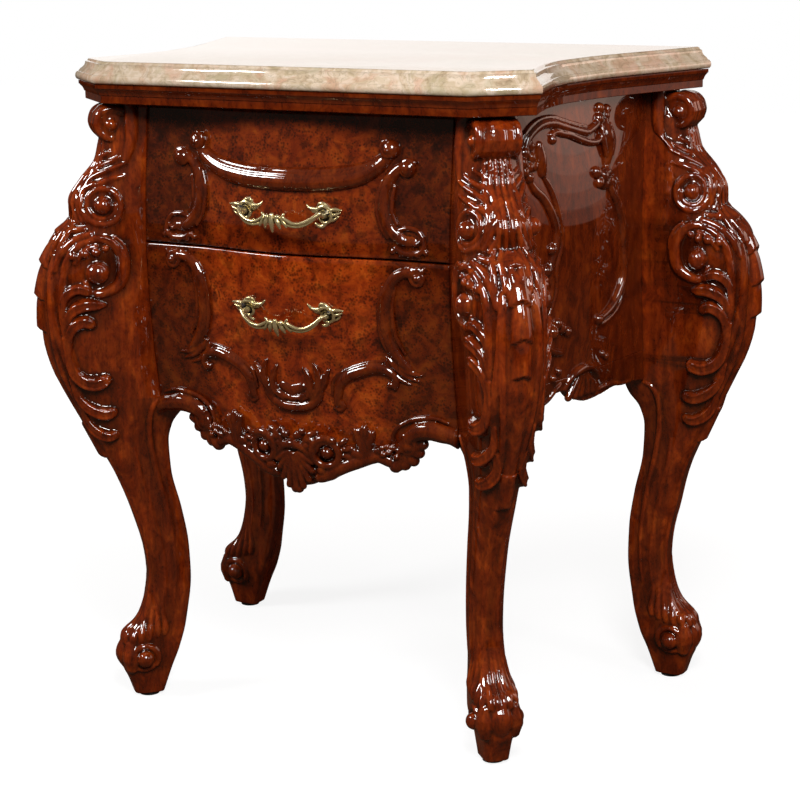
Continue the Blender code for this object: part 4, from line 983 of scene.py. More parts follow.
def marble_top():
    """The slab; its moulded edge is written in millimetres in from the tip and up from the bed."""
    profile = [(5.0, 0.0), (2.0, 0.3), (0.6, 1.6), (0.0, 4.0), (0.5, 6.6), (2.0, 8.4), (2.6, 8.8),
               (3.4, 8.9), (4.0, 9.6), (5.4, 11.4), (7.4, 12.8), (9.2, 14.6), (10.2, 17.0), (10.4, 18.6),
               (11.0, 19.0), (12.0, 19.1), (12.6, 19.6), (13.4, 21.0), (14.6, 21.8), (16.2, 22.0)]
    rings = []
    for inset, up in profile:
        rings.append([(x, y, MARBLE_LOW.z + up * MM) for x, y in top_outline(inset * MM)])
    mesh = shell("marble", *loft(rings))
    piece("polished_marble_top", mesh, "case", ["marble_top"], MARBLE, sharp=40)


def cornice():
    """The moulding under the slab: a fillet, a cove and a flat fascia, rebated for the board inside."""
    bottom, top = LEG_TOP + PLAY, MARBLE_LOW.z - PLAY
    outside = [(9.6, 0.0), (9.0, 0.6), (9.0, 7.4), (8.4, 8.0), (8.0, 8.2), (7.6, 9.6), (6.6, 11.6),
               (5.2, 13.2), (4.2, 14.2), (4.0, 14.8), (3.2, 15.0), (3.0, 15.6), (3.0, 19.0)]
    inside = [(41.5, 19.0), (41.5, 8.0), (50.0, 8.0), (50.0, 0.0)]
    scale = (top - bottom) / CORNICE_HEIGHT
    rings = []
    for profile, hollow in ((outside, 1.0), (inside, INSIDE_HOLLOW)):
        for inset, up in profile:
            rings.append([(x, y, bottom + up * scale) for x, y in top_outline(inset * MM, hollow)])
    mesh = shell("cornice", *loft(rings, closed=True))
    nodes = ["cornice_front", "cornice_left", "cornice_right", "cornice_back"]
    piece("moulded_cornice", mesh, "case", nodes, MOULDED, sharp=30)


marble_top()
cornice()


# Drawer fronts

def apron_bottom(x):
    """Lower edge of the lower drawer: a shell tip, a lobe and an arch on each side."""
    depth = APRON_ARCH - LOWER_LOW.z
    knots = Course([(0.0, 1.0), (0.08, 0.95), (0.19, 0.73), (0.35, 0.61), (0.44, 0.52), (0.53, 0.573),
                    (0.62, 0.573), (0.70, 0.427), (0.78, 0.133), (0.89, 0.0), (1.0, 0.027)])
    return APRON_ARCH - depth * knots(abs(x) / DRAWER_HALF)


def front_board(name, bottom, top):
    """A bombé board with softened edges and a flat back; bottom gives its lower edge."""
    turn = np.radians((0, 30, 60, 90))
    sides = [(DRAWER_HALF - EDGE_ROUND * (1 - math.sin(a)), EDGE_ROUND * (1 - math.cos(a))) for a in turn]
    stations = [(-x, pull) for x, pull in reversed(sides)]
    stations += [(x, 0.0) for x in np.linspace(-sides[0][0], sides[0][0], FRONT_COLUMNS)[1:-1]]
    stations += sides
    rings = []
    for x, pull in stations:
        low = float(bottom(x))
        ring = [(x, FRONT_BACK_Y, low)]
        heights = [(low + EDGE_ROUND * (1 - math.sin(a)), EDGE_ROUND * (1 - math.cos(a)))
                   for a in turn[::-1]]
        heights += [(z, 0.0) for z in np.linspace(low + EDGE_ROUND, top - EDGE_ROUND, FRONT_ROWS)[1:-1]]
        heights += [(top - EDGE_ROUND * (1 - math.sin(a)), EDGE_ROUND * (1 - math.cos(a))) for a in turn]
        for z, back in heights:
            ring.append((x, float(front_y(x, z)) + min(back + pull, EDGE_ROUND), z))
        ring.append((x, FRONT_BACK_Y, top))
        rings.append(ring)
    return shell(name, *loft(rings))


piece("burl_upper_front", front_board("upper", lambda x: UPPER_LOW.z, UPPER_HIGH.z), "upper_drawer",
      ["upper_drawer_front"], BURL, sharp=50)
piece("burl_lower_front", front_board("lower", apron_bottom, LOWER_HIGH.z), "lower_drawer",
      ["lower_drawer_front"], BURL, sharp=50)


# Applied carving of the drawers, written for the right half and mirrored

def half_front(side):
    """The drawer face with across counted from the middle towards one side."""
    return lambda across, up, lift: on_front(side * across, up, lift)


def swag(place):
    """Half of the swag: three rolls side by side, the lowest the broadest, and a curled ball."""
    runs = []
    for drop, girth, proud in ((0.0, 7.0, 0.65), (4.2, 8.4, 0.80), (8.6, 9.4, 0.88)):
        runs += ridge(place, [(0, 585.5 - drop, girth), (40, 586.5 - drop, girth),
                              (70, 590 - drop, girth * 0.96), (88, 595 - drop * 0.9, girth * 0.88),
                              (101, 602 - drop * 0.7, girth * 0.76), (110, 610 - drop * 0.5, girth * 0.64)],
                      proud)
    runs += bead(place, 111.5, 611.5, 10.0, 0.95)
    runs += volute(place, (111.5, 612), (8.8, 3.2), 110, 1.1, (2.8, 1.8), 3.2)
    runs += bead(place, 110.5, 611, 3.0, 3.6)
    return runs


def upper_scroll(place):
    """The C-scroll of the upper drawer: a round band with a curled top and a scalloped cup at the foot."""
    runs = ridge(place, [(127, 598, 5.0), (116, 589, 6.2), (109, 578, 6.8), (106.5, 565, 7.0),
                         (107, 552, 7.0), (110.5, 541, 7.0), (116, 532, 6.8), (126, 525, 6.0)], 0.85)
    for knots in ([(118, 577, 1.6), (115.5, 563, 2.0), (116, 550, 2.0), (121, 540, 1.6)],
                  [(104, 582, 1.6), (99.5, 566, 2.0), (99.5, 551, 2.0), (103.5, 537, 1.8),
                   (111, 526, 1.4)]):
        runs += ridge(place, knots, 1.9)
    runs += bead(place, 131, 594, 9.0, 0.95)
    runs += volute(place, (131, 594), (9.0, 4.5), 40, 1.2, (2.4, 1.8), 2.2)
    runs += ridge(place, [(121, 534, 2.2), (131, 537, 2.6), (142, 535.5, 2.6), (148, 529, 2.4),
                          (150, 520, 2.6), (146, 514.5, 3.0), (138, 512.5, 3.2), (128, 513, 3.2),
                          (119, 517, 2.6)], 1.2)
    runs += ridge(place, [(147, 526, 1.6), (141, 521.5, 2.2), (136, 526.5, 1.6)], 1.4)
    runs += ridge(place, [(137, 524, 7.0), (129, 524, 7.0), (121, 526, 6.0)], 0.35)
    for across, up in ((152, 514.5), (143, 511.8), (134, 511), (125, 511.5), (116, 514)):
        runs += bead(place, across, up, 3.2, 1.0)
    return runs


def lower_scroll(place):
    """The long scroll of the lower drawer: a round band, curled at the top, leafy at the foot."""
    runs = ridge(place, [(138, 493, 5.0), (127, 493, 6.0), (117, 487, 6.6), (110.5, 476, 6.8),
                         (107, 460, 6.8), (106.5, 443, 7.0), (108.5, 428, 7.0), (113.5, 415, 6.6),
                         (120.5, 405, 5.8), (129, 397, 4.0)], 0.85)
    for knots in ([(118.5, 478, 1.4), (115, 462, 2.0), (115, 445, 2.0), (118, 428, 2.0), (126, 412, 1.4)],
                  [(104.5, 478, 1.4), (100.5, 460, 2.0), (99.5, 443, 2.0), (101.5, 427, 2.0),
                   (107, 412, 1.4)]):
        runs += ridge(place, knots, 1.9)
    runs += volute(place, (143, 489), (8.5, 4.5), 90, 1.2, (2.6, 2.0), 1.4)
    runs += bead(place, 143, 489, 4.2, 1.4)
    for across in (131, 137, 143, 149):
        runs += ridge(place, [(across - 5, 492, 1.8), (across - 1, 496, 2.4), (across + 1, 499, 1.8)], 1.2)
    runs += ridge(place, [(113, 402, 2.6), (122, 396, 3.0), (132, 392.5, 2.8), (142, 391.5, 1.4)], 1.2)
    runs += ridge(place, [(106, 407, 2.4), (114, 398, 3.0), (125, 389.5, 2.8), (138, 385, 1.4)], 1.2)
    runs += ridge(place, [(104, 402, 2.2), (109, 393, 2.8), (118, 385.5, 2.6), (129, 381, 1.3)], 1.1)
    runs += ridge(place, [(118, 404, 3.0), (124, 400, 4.0), (131, 396, 3.0)], 0.7)
    return runs


def garland(place):
    """Half of the garland: an arched roll with a curled end, a leaf spray, half the rocaille."""
    runs = ridge(place, [(112, 376, 3.2), (113.5, 385, 4.2), (106, 393, 5.2), (92, 395.5, 6.2),
                         (76, 391, 6.6), (63, 385, 6.4), (54, 376, 5.8), (51, 366, 5.0), (49, 356, 4.2)],
                 1.05)
    runs += bead(place, 107, 379, 4.4, 1.1)
    runs += ridge(place, [(105, 403, 1.4), (92, 402.5, 1.9), (77, 398.5, 2.0), (64, 393, 2.0),
                          (53, 386.5, 2.0), (46, 378, 1.8), (44, 364, 1.4)], 1.3)
    runs += ridge(place, [(50, 360, 3.2), (55, 354, 3.4), (52, 349, 3.0), (46, 352, 2.4)], 1.1)
    runs += ridge(place, [(0, 348.5, 6.2), (14, 350, 5.8), (26, 356, 5.0), (32, 366, 4.0), (31, 375, 2.6)],
                  1.0)
    runs += ridge(place, [(0, 358, 3.0), (10, 359.5, 3.0), (18, 365, 2.8), (21, 374, 2.4), (18, 382, 1.8)],
                  1.5)
    runs += ridge(place, [(0, 366, 9.0), (10, 370, 7.0)], 0.4)
    for knots in ([(10, 357, 3.0), (18, 363, 4.0), (22, 373, 4.0), (20, 384, 3.2), (15, 391, 1.4)],
                  [(22, 359, 3.0), (29, 368, 4.2), (32, 378, 4.2), (31, 389, 3.2), (27, 396, 1.4)],
                  [(31, 366, 2.6), (37, 375, 3.8), (40, 384, 3.4), (44, 391, 1.6)]):
        runs += fluted(place, knots, 1.25)
    return runs


# How far the apron's carving is lifted off the board, by distance from the middle, in millimetres
APRON_PROUD = Course([(0, 10.0), (30, 8.5), (45, 7.5), (75, 4.5), (100, 4.0), (125, 0.0), (190, 0.0)])


def apron_half(board):
    """Half of the apron's carving, from the leg in to the shell, which stands well out of the board."""
    def place(across, up, lift):
        return board(across, up, lift + APRON_PROUD(abs(across)) * MM)

    # Ground that fills the room behind the shell and the spiral
    runs = ridge(board, [(0, 302, 12.0), (20, 304, 10.0), (50, 304, 8.0), (75, 308, 7.0), (100, 306, 6.0)],
                 0.95)
    runs += ridge(board, [(0, 280, 11.0), (20, 284, 10.0), (40, 291, 8.0), (70, 300, 6.0)], 1.0)
    # Roll along the arch beside the leg, its rim and its curl
    runs += ridge(place, [(184, 324, 8.0), (172, 331, 9.0), (160, 333.5, 10.2), (148, 335.5, 10.8),
                          (136, 333.5, 10.4), (126, 328, 9.4), (119, 320, 8.0)], 1.0)
    runs += ridge(place, [(168, 345, 1.6), (156, 348.5, 2.0), (143, 348, 2.4), (128, 344.5, 2.4),
                          (114, 337, 2.4), (107, 327, 2.2), (107, 316, 1.8)], 1.8)
    runs += volute(place, (121, 317), (10.5, 5.5), 100, -1.15, (3.0, 2.0), 2.6)
    runs += bead(place, 121, 316.5, 8.6, 1.05)
    # Scalloped leaf under the curl, and the lobes that fringe the apron from there to the shell
    for across, up, girth in ((137, 319, 5.5), (131, 309.5, 6.2), (124, 301, 6.6), (115, 296.5, 7.0),
                              (106, 294, 7.4)):
        runs += ridge(place, [(119, 311, 5.0), ((across + 119) / 2, (up + 311) / 2, 6.0),
                              (across, up, girth)], 0.95)
    runs += ridge(place, [(100, 299, 7.0), (90, 303, 7.2), (82, 302, 7.6), (74, 298.5, 7.2),
                          (66, 295.5, 7.6), (56, 291.5, 7.6), (46, 287, 7.8), (36, 281, 7.4),
                          (27, 277, 6.6)], 0.9)
    # Berries on the leaf
    for across, up in ((112, 311), (107, 314), (101, 315), (95, 313.5), (90, 310), (110, 305), (103, 309.5),
                       (97, 307)):
        runs += bead(place, across, up, 3.4, 2.6 if up < 310 else 2.0)
    # Tuft with three round lobes
    for across, up, girth in ((69, 329, 4.4), (77, 332, 4.6), (85, 327, 4.4)):
        runs += ridge(place, [(76, 306, 5.4), ((across + 76) / 2, (up + 306) / 2, 5.4),
                              (across, up, girth)], 1.15)
    runs += ridge(place, [(88, 308, 4.6), (76, 304, 7.0), (65, 305, 5.4)], 0.9)
    # Big spiral, its flutes and its tail
    runs += volute(place, (37, 304), (16.0, 11.0), 60, 1.3, (4.2, 3.2), 1.8)
    runs += bead(place, 37, 304, 6.4, 1.2)
    for angle in (-30, -8, 14, 36):
        turn = math.radians(angle)
        runs += ridge(place, [(37 + r * math.cos(turn), 304 + r * math.sin(turn), girth)
                              for r, girth in ((16, 2.4), (21, 3.2), (26, 2.6))], 1.3)
    runs += ridge(place, [(51, 289, 3.2), (44, 282, 4.4), (36, 278, 4.4), (29, 279, 3.2)], 1.3)
    runs += bead(place, 30, 285, 5.6, 1.25)
    # Leaf and balls between the spiral and the shell
    for across, up, radius in ((20, 317, 4.6), (16, 310.5, 4.4), (17, 303.5, 3.6), (7, 321, 5.0),
                               (12, 325.5, 4.0)):
        runs += bead(place, across, up, radius, 1.3)
    runs += ridge(place, [(13, 314, 3.4), (20, 322, 3.8), (28, 325, 2.6)], 1.2)
    # Shell: ribs that fan out to a scalloped tip
    for turn, reach in ((0, 43), (12, 41), (25, 36), (40, 30), (57, 25)):
        angle = math.radians(turn)
        runs += ridge(place, [(r * math.sin(angle), 306 - r * math.cos(angle), girth)
                              for r, girth in ((6, 2.0), (reach * 0.55, 3.0), (reach, 3.6 - turn * 0.015))],
                      1.9)
    runs += bead(place, 2, 262.5, 5.0, 1.2)
    runs += ridge(place, [(0, 311, 4.8), (9, 309, 4.4), (17, 302, 3.6), (22, 293, 2.6)], 1.4)
    runs += ridge(place, [(4, 298, 8.0), (7, 286, 10.0), (4, 272, 7.0)], 0.4)
    return runs


def both_halves(writer):
    """The runs of a carving that is the same on both sides of the middle."""
    return writer(half_front(1)) + writer(half_front(-1))


def relief(node, runs, body, keep_above=None):
    """A carved piece laid on a drawer, cut off at its sides and where the next drawer begins."""
    mesh = fused(node, [tubes(node, runs, APPLIED)], RELIEF_VOXEL)
    aside = DRAWER_HALF - PLAY
    # Both sides of the drawer, and what hangs over the next one
    top = LEG_TOP + FAR
    cutters = [((aside, -FAR, 0.0), (FAR, FAR, top)), ((-FAR, -FAR, 0.0), (-aside, FAR, top))]
    if keep_above:
        cutters.append(((-FAR, -FAR, 0.0), (FAR, FAR, keep_above)))
    mesh = cut(mesh, cutters)
    mark_hollows(mesh, HOLLOW_DEPTH)
    piece("carved_" + node, mesh, body, [node], APPLIED)


relief("upper_swag", both_halves(swag), "upper_drawer")
relief("lower_garland", both_halves(garland), "lower_drawer")
relief("apron_carving", both_halves(apron_half), "lower_drawer")
for word, side in (("right", 1), ("left", -1)):
    relief("upper_scroll_" + word, upper_scroll(half_front(side)), "upper_drawer", UPPER_LOW.z)
    relief("lower_scroll_" + word, lower_scroll(half_front(side)), "lower_drawer")


# Brass pulls

# Half the distance of the screws, how deep the roses are let in, and how far the bar stands out
PULL_HALF = 50
PULL_SEAT = 0.0008
PULL_OUT = Course([(0, 24.0), (6, 24.0), (12, 23.5), (28, 22.3), (40, 18.7), (48, 12.5)])


def pull(name, height, lean, body, node):
    """A cast pull: a scrolled rose at each end, a ribbed bar, leaf fingers; lean tips it, in degrees."""
    seat = float(front_y(PULL_HALF * MM, height)) - PULL_SEAT

    def rose(side):
        return lambda across, up, lift: Vector((side * across * MM, seat - lift, height + (up - 4) * MM))

    def bar(side):
        return lambda across, up, lift: Vector((side * across * MM,
                                                seat - PULL_OUT(abs(across)) * MM - lift, height + up * MM))

    runs = []
    for side in (1, -1):
        at = rose(side)
        runs += ridge(at, [(36, 1, 4.0), (46, 0, 7.5), (55, 2, 4.0)], 0.45)
        runs += volute(at, (46, 0), (9.6, 3.6), 150, -1.5, (2.1, 1.4), 2.0)
        runs += bead(at, 46, 0, 2.8, 1.8)
        runs += ridge(at, [(50, 5, 2.2), (57, 6.5, 2.0), (64.5, 6, 0.9)], 1.7)
        runs += ridge(at, [(51, 0, 1.9), (58, 1.5, 1.7), (63, 3.5, 0.8)], 1.6)
        runs += ridge(at, [(50, -5, 1.9), (56, -3.5, 1.7), (60.5, -0.5, 0.8)], 1.5)
        runs += ridge(at, [(49, 8, 1.8), (45, 11.5, 2.0), (40, 11.5, 1.7), (38, 8.5, 1.0)], 1.6)
        runs += ridge(at, [(42, 7, 1.9), (35, 6, 2.1), (29, 7, 1.7), (25, 10.5, 1.0)], 1.9)
        runs += ridge(at, [(40, 3, 1.8), (34, 3.5, 1.8), (29, 6, 1.0)], 1.8)
        runs += ridge(at, [(47, -8, 1.8), (42, -11, 2.2), (36, -8.5, 1.8)], 1.8)
        over = bar(side)
        stem = [(Vector((side * 46 * MM, seat - out * MM, height + up * MM)), girth * MM)
                for out, up, girth in ((1, -4, 3.6), (6, -3.5, 3.0), (11, -2, 2.6), (14.5, -0.9, 2.4))]
        runs.append(stem)
        runs += ridge(over, [(47, -0.5, 2.3), (41, -5, 2.0), (32, -9.5, 1.8), (23, -10.5, 1.8),
                             (16, -8, 1.9), (11, -4.5, 1.8), (12.5, -1.5, 1.4)], 1.0)
        runs += ridge(over, [(43, -6, 1.2), (35, -11.2, 1.4), (26, -13.4, 1.5), (18, -12.5, 1.6),
                             (9, -9.5, 1.9), (0, -8.5, 2.0)], 1.0)
        runs += ridge(over, [(4.5, -5, 2.2), (7, -10, 2.6), (8.5, -15.5, 1.2)], 1.6)
        runs += ridge(over, [(9.5, -6, 1.7), (13, -10.5, 1.9), (15.5, -14.5, 0.9)], 1.3)
        runs += bead(over, 6, -4.5, 2.8, 1.4)
    runs += ridge(bar(1), [(0, -2.5, 2.4), (0, -10, 3.0), (0, -19, 1.2)], 1.8)
    turn = Matrix.Rotation(math.radians(lean), 4, "X")
    foot = Vector((0.0, seat, height))
    runs = [[(foot + turn @ (point - foot), girth) for point, girth in run] for run in runs]
    mesh = fused(name, [tubes(name, runs, BRASS)], BRASS_VOXEL)
    mark_hollows(mesh, BRASS_HOLLOW_DEPTH)
    piece(name, mesh, body, [node], BRASS)


pull("brass_upper_pull", height=0.550, lean=0, body="upper_drawer", node="upper_handle")
pull("brass_lower_pull", height=0.451, lean=15, body="lower_drawer", node="lower_handle")


# Sides

PANEL_IN_FRONT = 0.018
PANEL_IN_REAR = 0.024
PANEL_GAP = 0.0003
PANEL_SWELL = 0.012
PANEL_THICK = 0.016
SIDE_ARCH = 0.338
SIDE_RISE = 0.034
SIDE_MIDDLE_Y = (FRONT_FOOT.y + REAR_FOOT.y) / 2


def panel_ends(z, depth):
    """Where the right-hand panel meets the two legs, depth in from its face."""
    width = float(leg_wide(max(z, POST_BOTTOM))) + PANEL_GAP
    reach = -PANEL_IN_FRONT - depth
    slant = math.sqrt(0.5)
    front = Vector((FRONT_FOOT.x + (reach + width) * slant, FRONT_FOOT.y + (width - reach) * slant))
    rear = Vector((REAR_FOOT.x - PANEL_IN_REAR - depth, REAR_FOOT.y - width))
    return front, rear


def panel_point(share, z, depth):
    """A point of the right-hand side by share of the way back and height, depth in from its face."""
    front, rear = panel_ends(z, depth)
    height = min(max((z - SWELL_BOTTOM) / (SWELL_TOP - SWELL_BOTTOM), 0), 1)
    swell = PANEL_SWELL * math.sin(math.pi * height) * 4 * share * (1 - share)
    flat = front + (rear - front) * share
    return Vector((flat.x + swell, flat.y, z))


def on_panel(back, up, lift):
    """The right-hand side: back from its middle and up, in millimetres."""
    def point(y, z):
        front, rear = panel_ends(z, 0.0)
        return panel_point((y - front.y) / (rear.y - front.y), z, 0.0)

    y, z = SIDE_MIDDLE_Y + back * MM, up * MM
    here = point(y, z)
    out = (point(y + MM, z) - here).cross(point(y, z + MM) - here).normalized()
    return here + out * lift


def side_apron_bottom(share):
    """Lower edge of the side apron: a notch, a hanging shell, a long arch."""
    lift = Course([(0, 0.06), (0.14, 0.35), (0.34, 0.59), (0.44, 0.18), (0.55, 0.0), (0.66, 0.06),
                   (0.76, 0.16), (0.90, 0.10), (1, 0)])
    return SIDE_ARCH + SIDE_RISE * float(lift(share))


def side_board(name, low, high):
    """A curved board between the legs; low and high give its edges by share of its length."""
    rings = []
    for share in np.linspace(0, 1, SIDE_COLUMNS):
        bottom, top = low(share), high(share)
        heights = np.linspace(bottom, top, SIDE_ROWS)
        ring = [panel_point(share, z, 0.0) for z in heights]
        ring += [panel_point(share, z, PANEL_THICK) for z in heights[::-1]]
        rings.append(ring)
    return shell(name, *loft(rings))


def side_apron_carving():
    """Hanging shell under a crescent, with a bead along the arches."""
    runs = []
    for foot in (-26, -15, -4, 8, 19):
        runs += ridge(on_panel, [(-3 + foot * 0.2, 372, 2.2), (foot * 0.7, 360, 3.4), (foot, 349, 4.2)],
                      1.2)
    runs += ridge(on_panel, [(-34, 360, 2.6), (-25, 371, 3.8), (-5, 377, 4.6), (14, 374, 3.8),
                             (28, 362, 2.6)], 1.2)
    for back, up in ((30, 385), (38, 381), (-58, 375), (-50, 381)):
        runs += bead(on_panel, back, up, 4.4, 1.0)
    runs += ridge(on_panel, [(-72, 350, 2.4), (-62, 354, 2.8), (-52, 361, 2.8), (-43, 366, 2.0)], 1.0)
    runs += ridge(on_panel, [(34, 347, 2.0), (48, 348, 2.8), (62, 347, 2.8), (78, 344, 2.4),
                             (96, 343, 2.0)], 1.0)
    return runs


def side_frame_carving():
    """The applied serpentine moulding of a side, with its berries and leaf curls."""
    runs = ridge(on_panel, [(-106, 604, 4.1), (-100, 617, 4.9), (-89, 625, 5.1), (-74, 630, 5.1),
                            (-56, 630, 5.1), (-41, 626, 4.9), (-19, 620, 4.7), (0, 616, 4.6),
                            (12, 618.5, 4.6), (22, 622, 4.1)], 1.1)
    runs += ridge(on_panel, [(-109, 612, 1.9), (-104, 622, 2.4), (-91, 631, 2.7), (-74, 636, 2.7),
                             (-54, 636, 2.7), (-39, 632, 2.6), (-17, 626, 2.4), (2, 622, 2.2)], 1.2)
    runs += bead(on_panel, -58, 614, 5.0, 1.0)
    runs += ridge(on_panel, [(-60, 619, 3.2), (-51, 621, 3.9), (-41, 618.5, 4.1), (-29, 616, 4.1),
                             (-12, 610, 4.1), (4, 605.5, 4.1), (18, 605, 4.1), (30, 610, 3.5)], 1.1)
    for back, up, radius in ((-105, 606, 6.8), (-109, 597, 6.8), (-101, 592, 6.8), (-96, 612, 6.2),
                             (-97, 601, 7.0), (-107, 588, 6.2), (-100, 582, 6.2), (-92, 592, 5.7),
                             (31, 637, 6.2), (38, 629, 6.8), (27, 627, 6.2), (44, 635, 5.7), (22, 570, 8.1),
                             (11, 575, 6.8), (24, 562, 6.8), (34, 564, 6.8), (15, 564, 6.2), (30, 573, 6.8),
                             (-72, 508, 5.9), (-80, 488, 6.5), (-60, 432, 6.2), (-66, 424, 7.0),
                             (-52, 426, 6.2), (-42, 421, 5.7), (14, 424, 6.2)):
        runs += bead(on_panel, back, up, radius, 1.0)
    runs += ridge(on_panel, [(-80, 611, 4.9), (-79, 598, 6.8), (-79, 584, 5.4)], 0.9)
    runs += ridge(on_panel, [(-100, 580, 3.2), (-92, 569, 4.6), (-82, 561, 4.9), (-73, 549, 5.0),
                             (-67, 537, 5.0), (-64, 524, 5.0), (-66, 510, 4.9), (-71, 498, 4.6),
                             (-75, 484, 4.6), (-72, 470, 4.6), (-78, 454, 4.6), (-85, 441, 4.3),
                             (-86, 428, 4.1), (-78, 414, 4.3), (-65, 405, 4.3), (-48, 400, 3.5)], 1.1)
    runs += ridge(on_panel, [(-79, 582, 2.7), (-70, 570, 3.8), (-63, 556, 3.9), (-59, 542, 3.9),
                             (-56, 526, 3.9), (-56, 512, 3.8), (-61, 498, 3.2), (-65, 484, 3.0),
                             (-63, 470, 3.0), (-69, 452, 3.0), (-75, 440, 2.7)], 1.0)
    runs += ridge(on_panel, [(35, 621, 8.1), (36, 611, 11.6), (37, 600, 10.3), (36, 590, 7.6),
                             (33, 582, 5.4)], 0.9)
    runs += ridge(on_panel, [(28, 620, 2.4), (27, 606, 3.1), (30, 590, 2.4)], 2.2)
    runs += ridge(on_panel, [(44, 620, 2.4), (46, 604, 3.1), (42, 590, 2.4)], 2.2)
    runs += ridge(on_panel, [(30, 566, 3.8), (40, 551, 4.6), (48, 540, 4.9), (55, 520, 4.9), (60, 500, 4.9),
                             (63, 480, 4.9), (62, 461, 4.9), (54, 447, 4.9), (42, 435, 4.6), (28, 428, 4.1),
                             (15, 424, 3.5)], 1.1)
    runs += ridge(on_panel, [(48, 552, 2.4), (58, 535, 3.1), (66, 512, 3.4), (70, 485, 3.4), (69, 461, 3.4),
                             (61, 440, 3.4), (48, 427, 3.4), (30, 420, 3.1), (12, 417, 2.4)], 1.0)
    return runs


def sides():
    """Panel, apron and applied frame of the right-hand side, and their mirror images."""
    panel = side_board("panel", lambda share: PANEL_SPLIT, lambda share: PANEL_TOP)
    apron = side_board("apron", side_apron_bottom, lambda share: SIDE_APRON_TOP)
    apron = fused("apron", [apron, tubes("side_apron", side_apron_carving(), APPLIED)], RELIEF_VOXEL)
    moulding = fused("frame", [tubes("frame", side_frame_carving(), APPLIED)], RELIEF_VOXEL)
    for mesh in (apron, moulding):
        mark_hollows(mesh, HOLLOW_DEPTH)
    for name, mesh, finish, sharp in (("side_panel", panel, PANEL, 50),
                                      ("side_apron", apron, APPLIED, None),
                                      ("side_frame", moulding, APPLIED, None)):
        piece("carved_%s_right" % name, mesh, "case", [name + "_right"], finish, sharp)
        piece("carved_%s_left" % name, mirrored(mesh), "case", [name + "_left"], finish, sharp)


sides()


# Pieces kept as they come from the solids get their own finish

KEPT = {"lining": LINING, "steel": STEEL, "nylon": NYLON}
for entry in frame["record"]["subparts"]:
    if entry["material_slot"] in KEPT:
        mesh = frame["nodes"][entry["node"]].data
        mesh.materials.clear()
        mesh.materials.append(KEPT[entry["material_slot"]])


# Stage, light and camera

FLOOR_HALF = 6.0
LAMP_AIM = Vector((0, SIDE_MIDDLE_Y, 0.4))
# The card on the right: strips of two degrees whose edges meet, brighter strip by strip to its top
CARD_STRIPS = 12
CARD_TURN = 128
CARD_DISTANCE = 2.4
CARD_LENGTH = 1.6
CARD_HEIGHT = 2 * CARD_DISTANCE * math.tan(math.radians(1.0))
CARD_BRIGHTNESS = 0.34
CARD_GAIN = 0.0885
# The camera, fitted to the plan of the top, the feet and the verticals
CAMERA_TURN = math.radians(29.18)
CAMERA_RISE = math.radians(13.04)
CAMERA_ROLL = math.radians(-0.97)
CAMERA_DISTANCE = 2.349
CAMERA_SHIFT = (0.0214, -0.0243)
CAMERA_LENS = 98.1
CAMERA_AIM = Vector((0, SIDE_MIDDLE_Y, 0.35))


def stage():
    """White to the eye; lacquer and brass see a dim room with softboxes and cards in it."""
    material, tree = new_material("white_floor")
    path = add(tree, "ShaderNodeLightPath")
    lit = add(tree, "ShaderNodeBsdfDiffuse", {"Color": srgb("#767676")})
    where = add(tree, "ShaderNodeTexCoord").outputs["Object"]
    # Painted light on the floor: its glow is weaker near the object, where the lamps light it and their
    # shadows show, and stronger far out, where their light falls off, so that the floor stays white
    away = add(tree, "ShaderNodeVectorMath", {0: where}, operation="LENGTH").outputs["Value"]
    level = add(tree, "ShaderNodeMapRange", {"Value": away, "From Min": 0.35, "From Max": 1.2,
                                             "To Min": 0.87, "To Max": 1.0}).outputs[0]
    glow = add(tree, "ShaderNodeEmission", {"Color": srgb("#ffffff"), "Strength": level})
    seen = add(tree, "ShaderNodeAddShader", {0: lit.outputs[0], 1: glow.outputs[0]})
    unseen = add(tree, "ShaderNodeBsdfDiffuse", {"Color": srgb("#503c2f")})
    floor = add(tree, "ShaderNodeMixShader", {0: path.outputs["Is Camera Ray"], 1: unseen.outputs[0],
                                              2: seen.outputs[0]})
    add(tree, "ShaderNodeOutputMaterial", {"Surface": floor.outputs[0]})
    corners = [(-FLOOR_HALF, -FLOOR_HALF, 0), (FLOOR_HALF, -FLOOR_HALF, 0), (FLOOR_HALF, FLOOR_HALF, 0),
               (-FLOOR_HALF, FLOOR_HALF, 0)]
    mesh = shell("floor", corners, [(0, 1, 2, 3)])
    mesh.materials.append(material)
    add_object("studio_floor", mesh)

    world = bpy.data.worlds.new("studio")
    bpy.context.scene.world = world
    world.use_nodes = True
    tree = world.node_tree
    tree.nodes.clear()
    path = add(tree, "ShaderNodeLightPath")
    white = add(tree, "ShaderNodeBackground", {"Color": srgb("#ffffff"), "Strength": 1.0})
    room = add(tree, "ShaderNodeBackground", {"Color": srgb("#ffe6d0"), "Strength": 0.06})
    mix = add(tree, "ShaderNodeMixShader", {0: path.outputs["Is Camera Ray"], 1: room.outputs[0],
                                            2: white.outputs[0]})
    add(tree, "ShaderNodeOutputWorld", {"Surface": mix.outputs[0]})


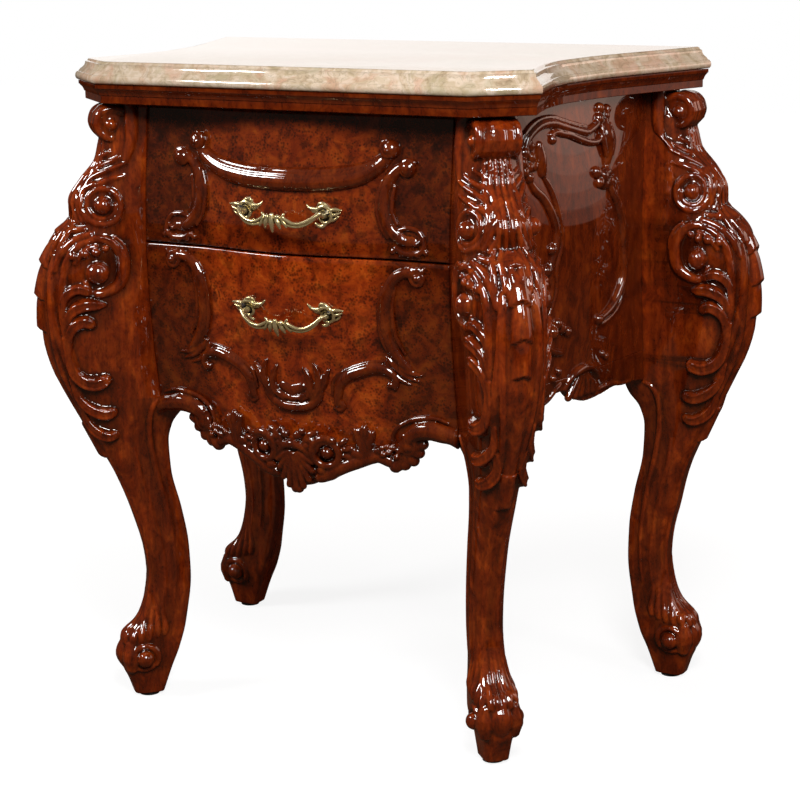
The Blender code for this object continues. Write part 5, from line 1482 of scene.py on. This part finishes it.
def softbox(name, turn, rise, distance, size, brightness, colour="#ffffff"):
    """A lamp seen from the object at a turn from the front and a rise, in degrees."""
    turn, rise = math.radians(turn), math.radians(rise)
    away = Vector((math.sin(turn) * math.cos(rise), -math.cos(turn) * math.cos(rise), math.sin(rise)))
    light = bpy.data.lights.new(name, "AREA")
    light.shape = "RECTANGLE"
    light.size, light.size_y = size
    light.energy = brightness * math.pi * size[0] * size[1]
    light.color = srgb(colour)[:3]
    item = add_object(name, light)
    item.location = LAMP_AIM + away * distance
    item.rotation_euler = away.to_track_quat("Z", "Y").to_euler()


def camera():
    """The place of the photograph's camera, seen from the object."""
    back = Vector((math.sin(CAMERA_TURN) * math.cos(CAMERA_RISE),
                   -math.cos(CAMERA_TURN) * math.cos(CAMERA_RISE), math.sin(CAMERA_RISE)))
    right = Vector((math.cos(CAMERA_TURN), math.sin(CAMERA_TURN), 0))
    up = back.cross(right)
    place = CAMERA_AIM + back * CAMERA_DISTANCE + right * CAMERA_SHIFT[0] + up * CAMERA_SHIFT[1]
    tilted = right * math.cos(CAMERA_ROLL) + up * math.sin(CAMERA_ROLL)
    upright = up * math.cos(CAMERA_ROLL) - right * math.sin(CAMERA_ROLL)
    eye = bpy.data.cameras.new("camera")
    eye.lens = CAMERA_LENS
    item = add_object("camera", eye)
    item.matrix_world = Matrix((tilted, upright, back)).transposed().to_4x4()
    item.location = place
    bpy.context.scene.camera = item


stage()
softbox("softbox_left", -48, 34, 2.3, (0.75, 0.42), 31.0)
softbox("softbox_above", 36, 37, 2.3, (0.55, 0.85), 32.0)
softbox("softbox_right", 80, 30, 2.3, (0.30, 0.90), 10.0)
for strip in range(CARD_STRIPS):
    rise = 2.0 * strip - 1.0
    softbox("card_right_%d" % strip, CARD_TURN, rise, CARD_DISTANCE, (CARD_LENGTH, CARD_HEIGHT),
            CARD_BRIGHTNESS + CARD_GAIN * rise, "#ffd8c6")
softbox("card_behind", 207, 16, 2.6, (2.6, 1.0), 1.0, "#fffaf6")
camera()
bpy.context.scene.view_settings.view_transform = "Standard"
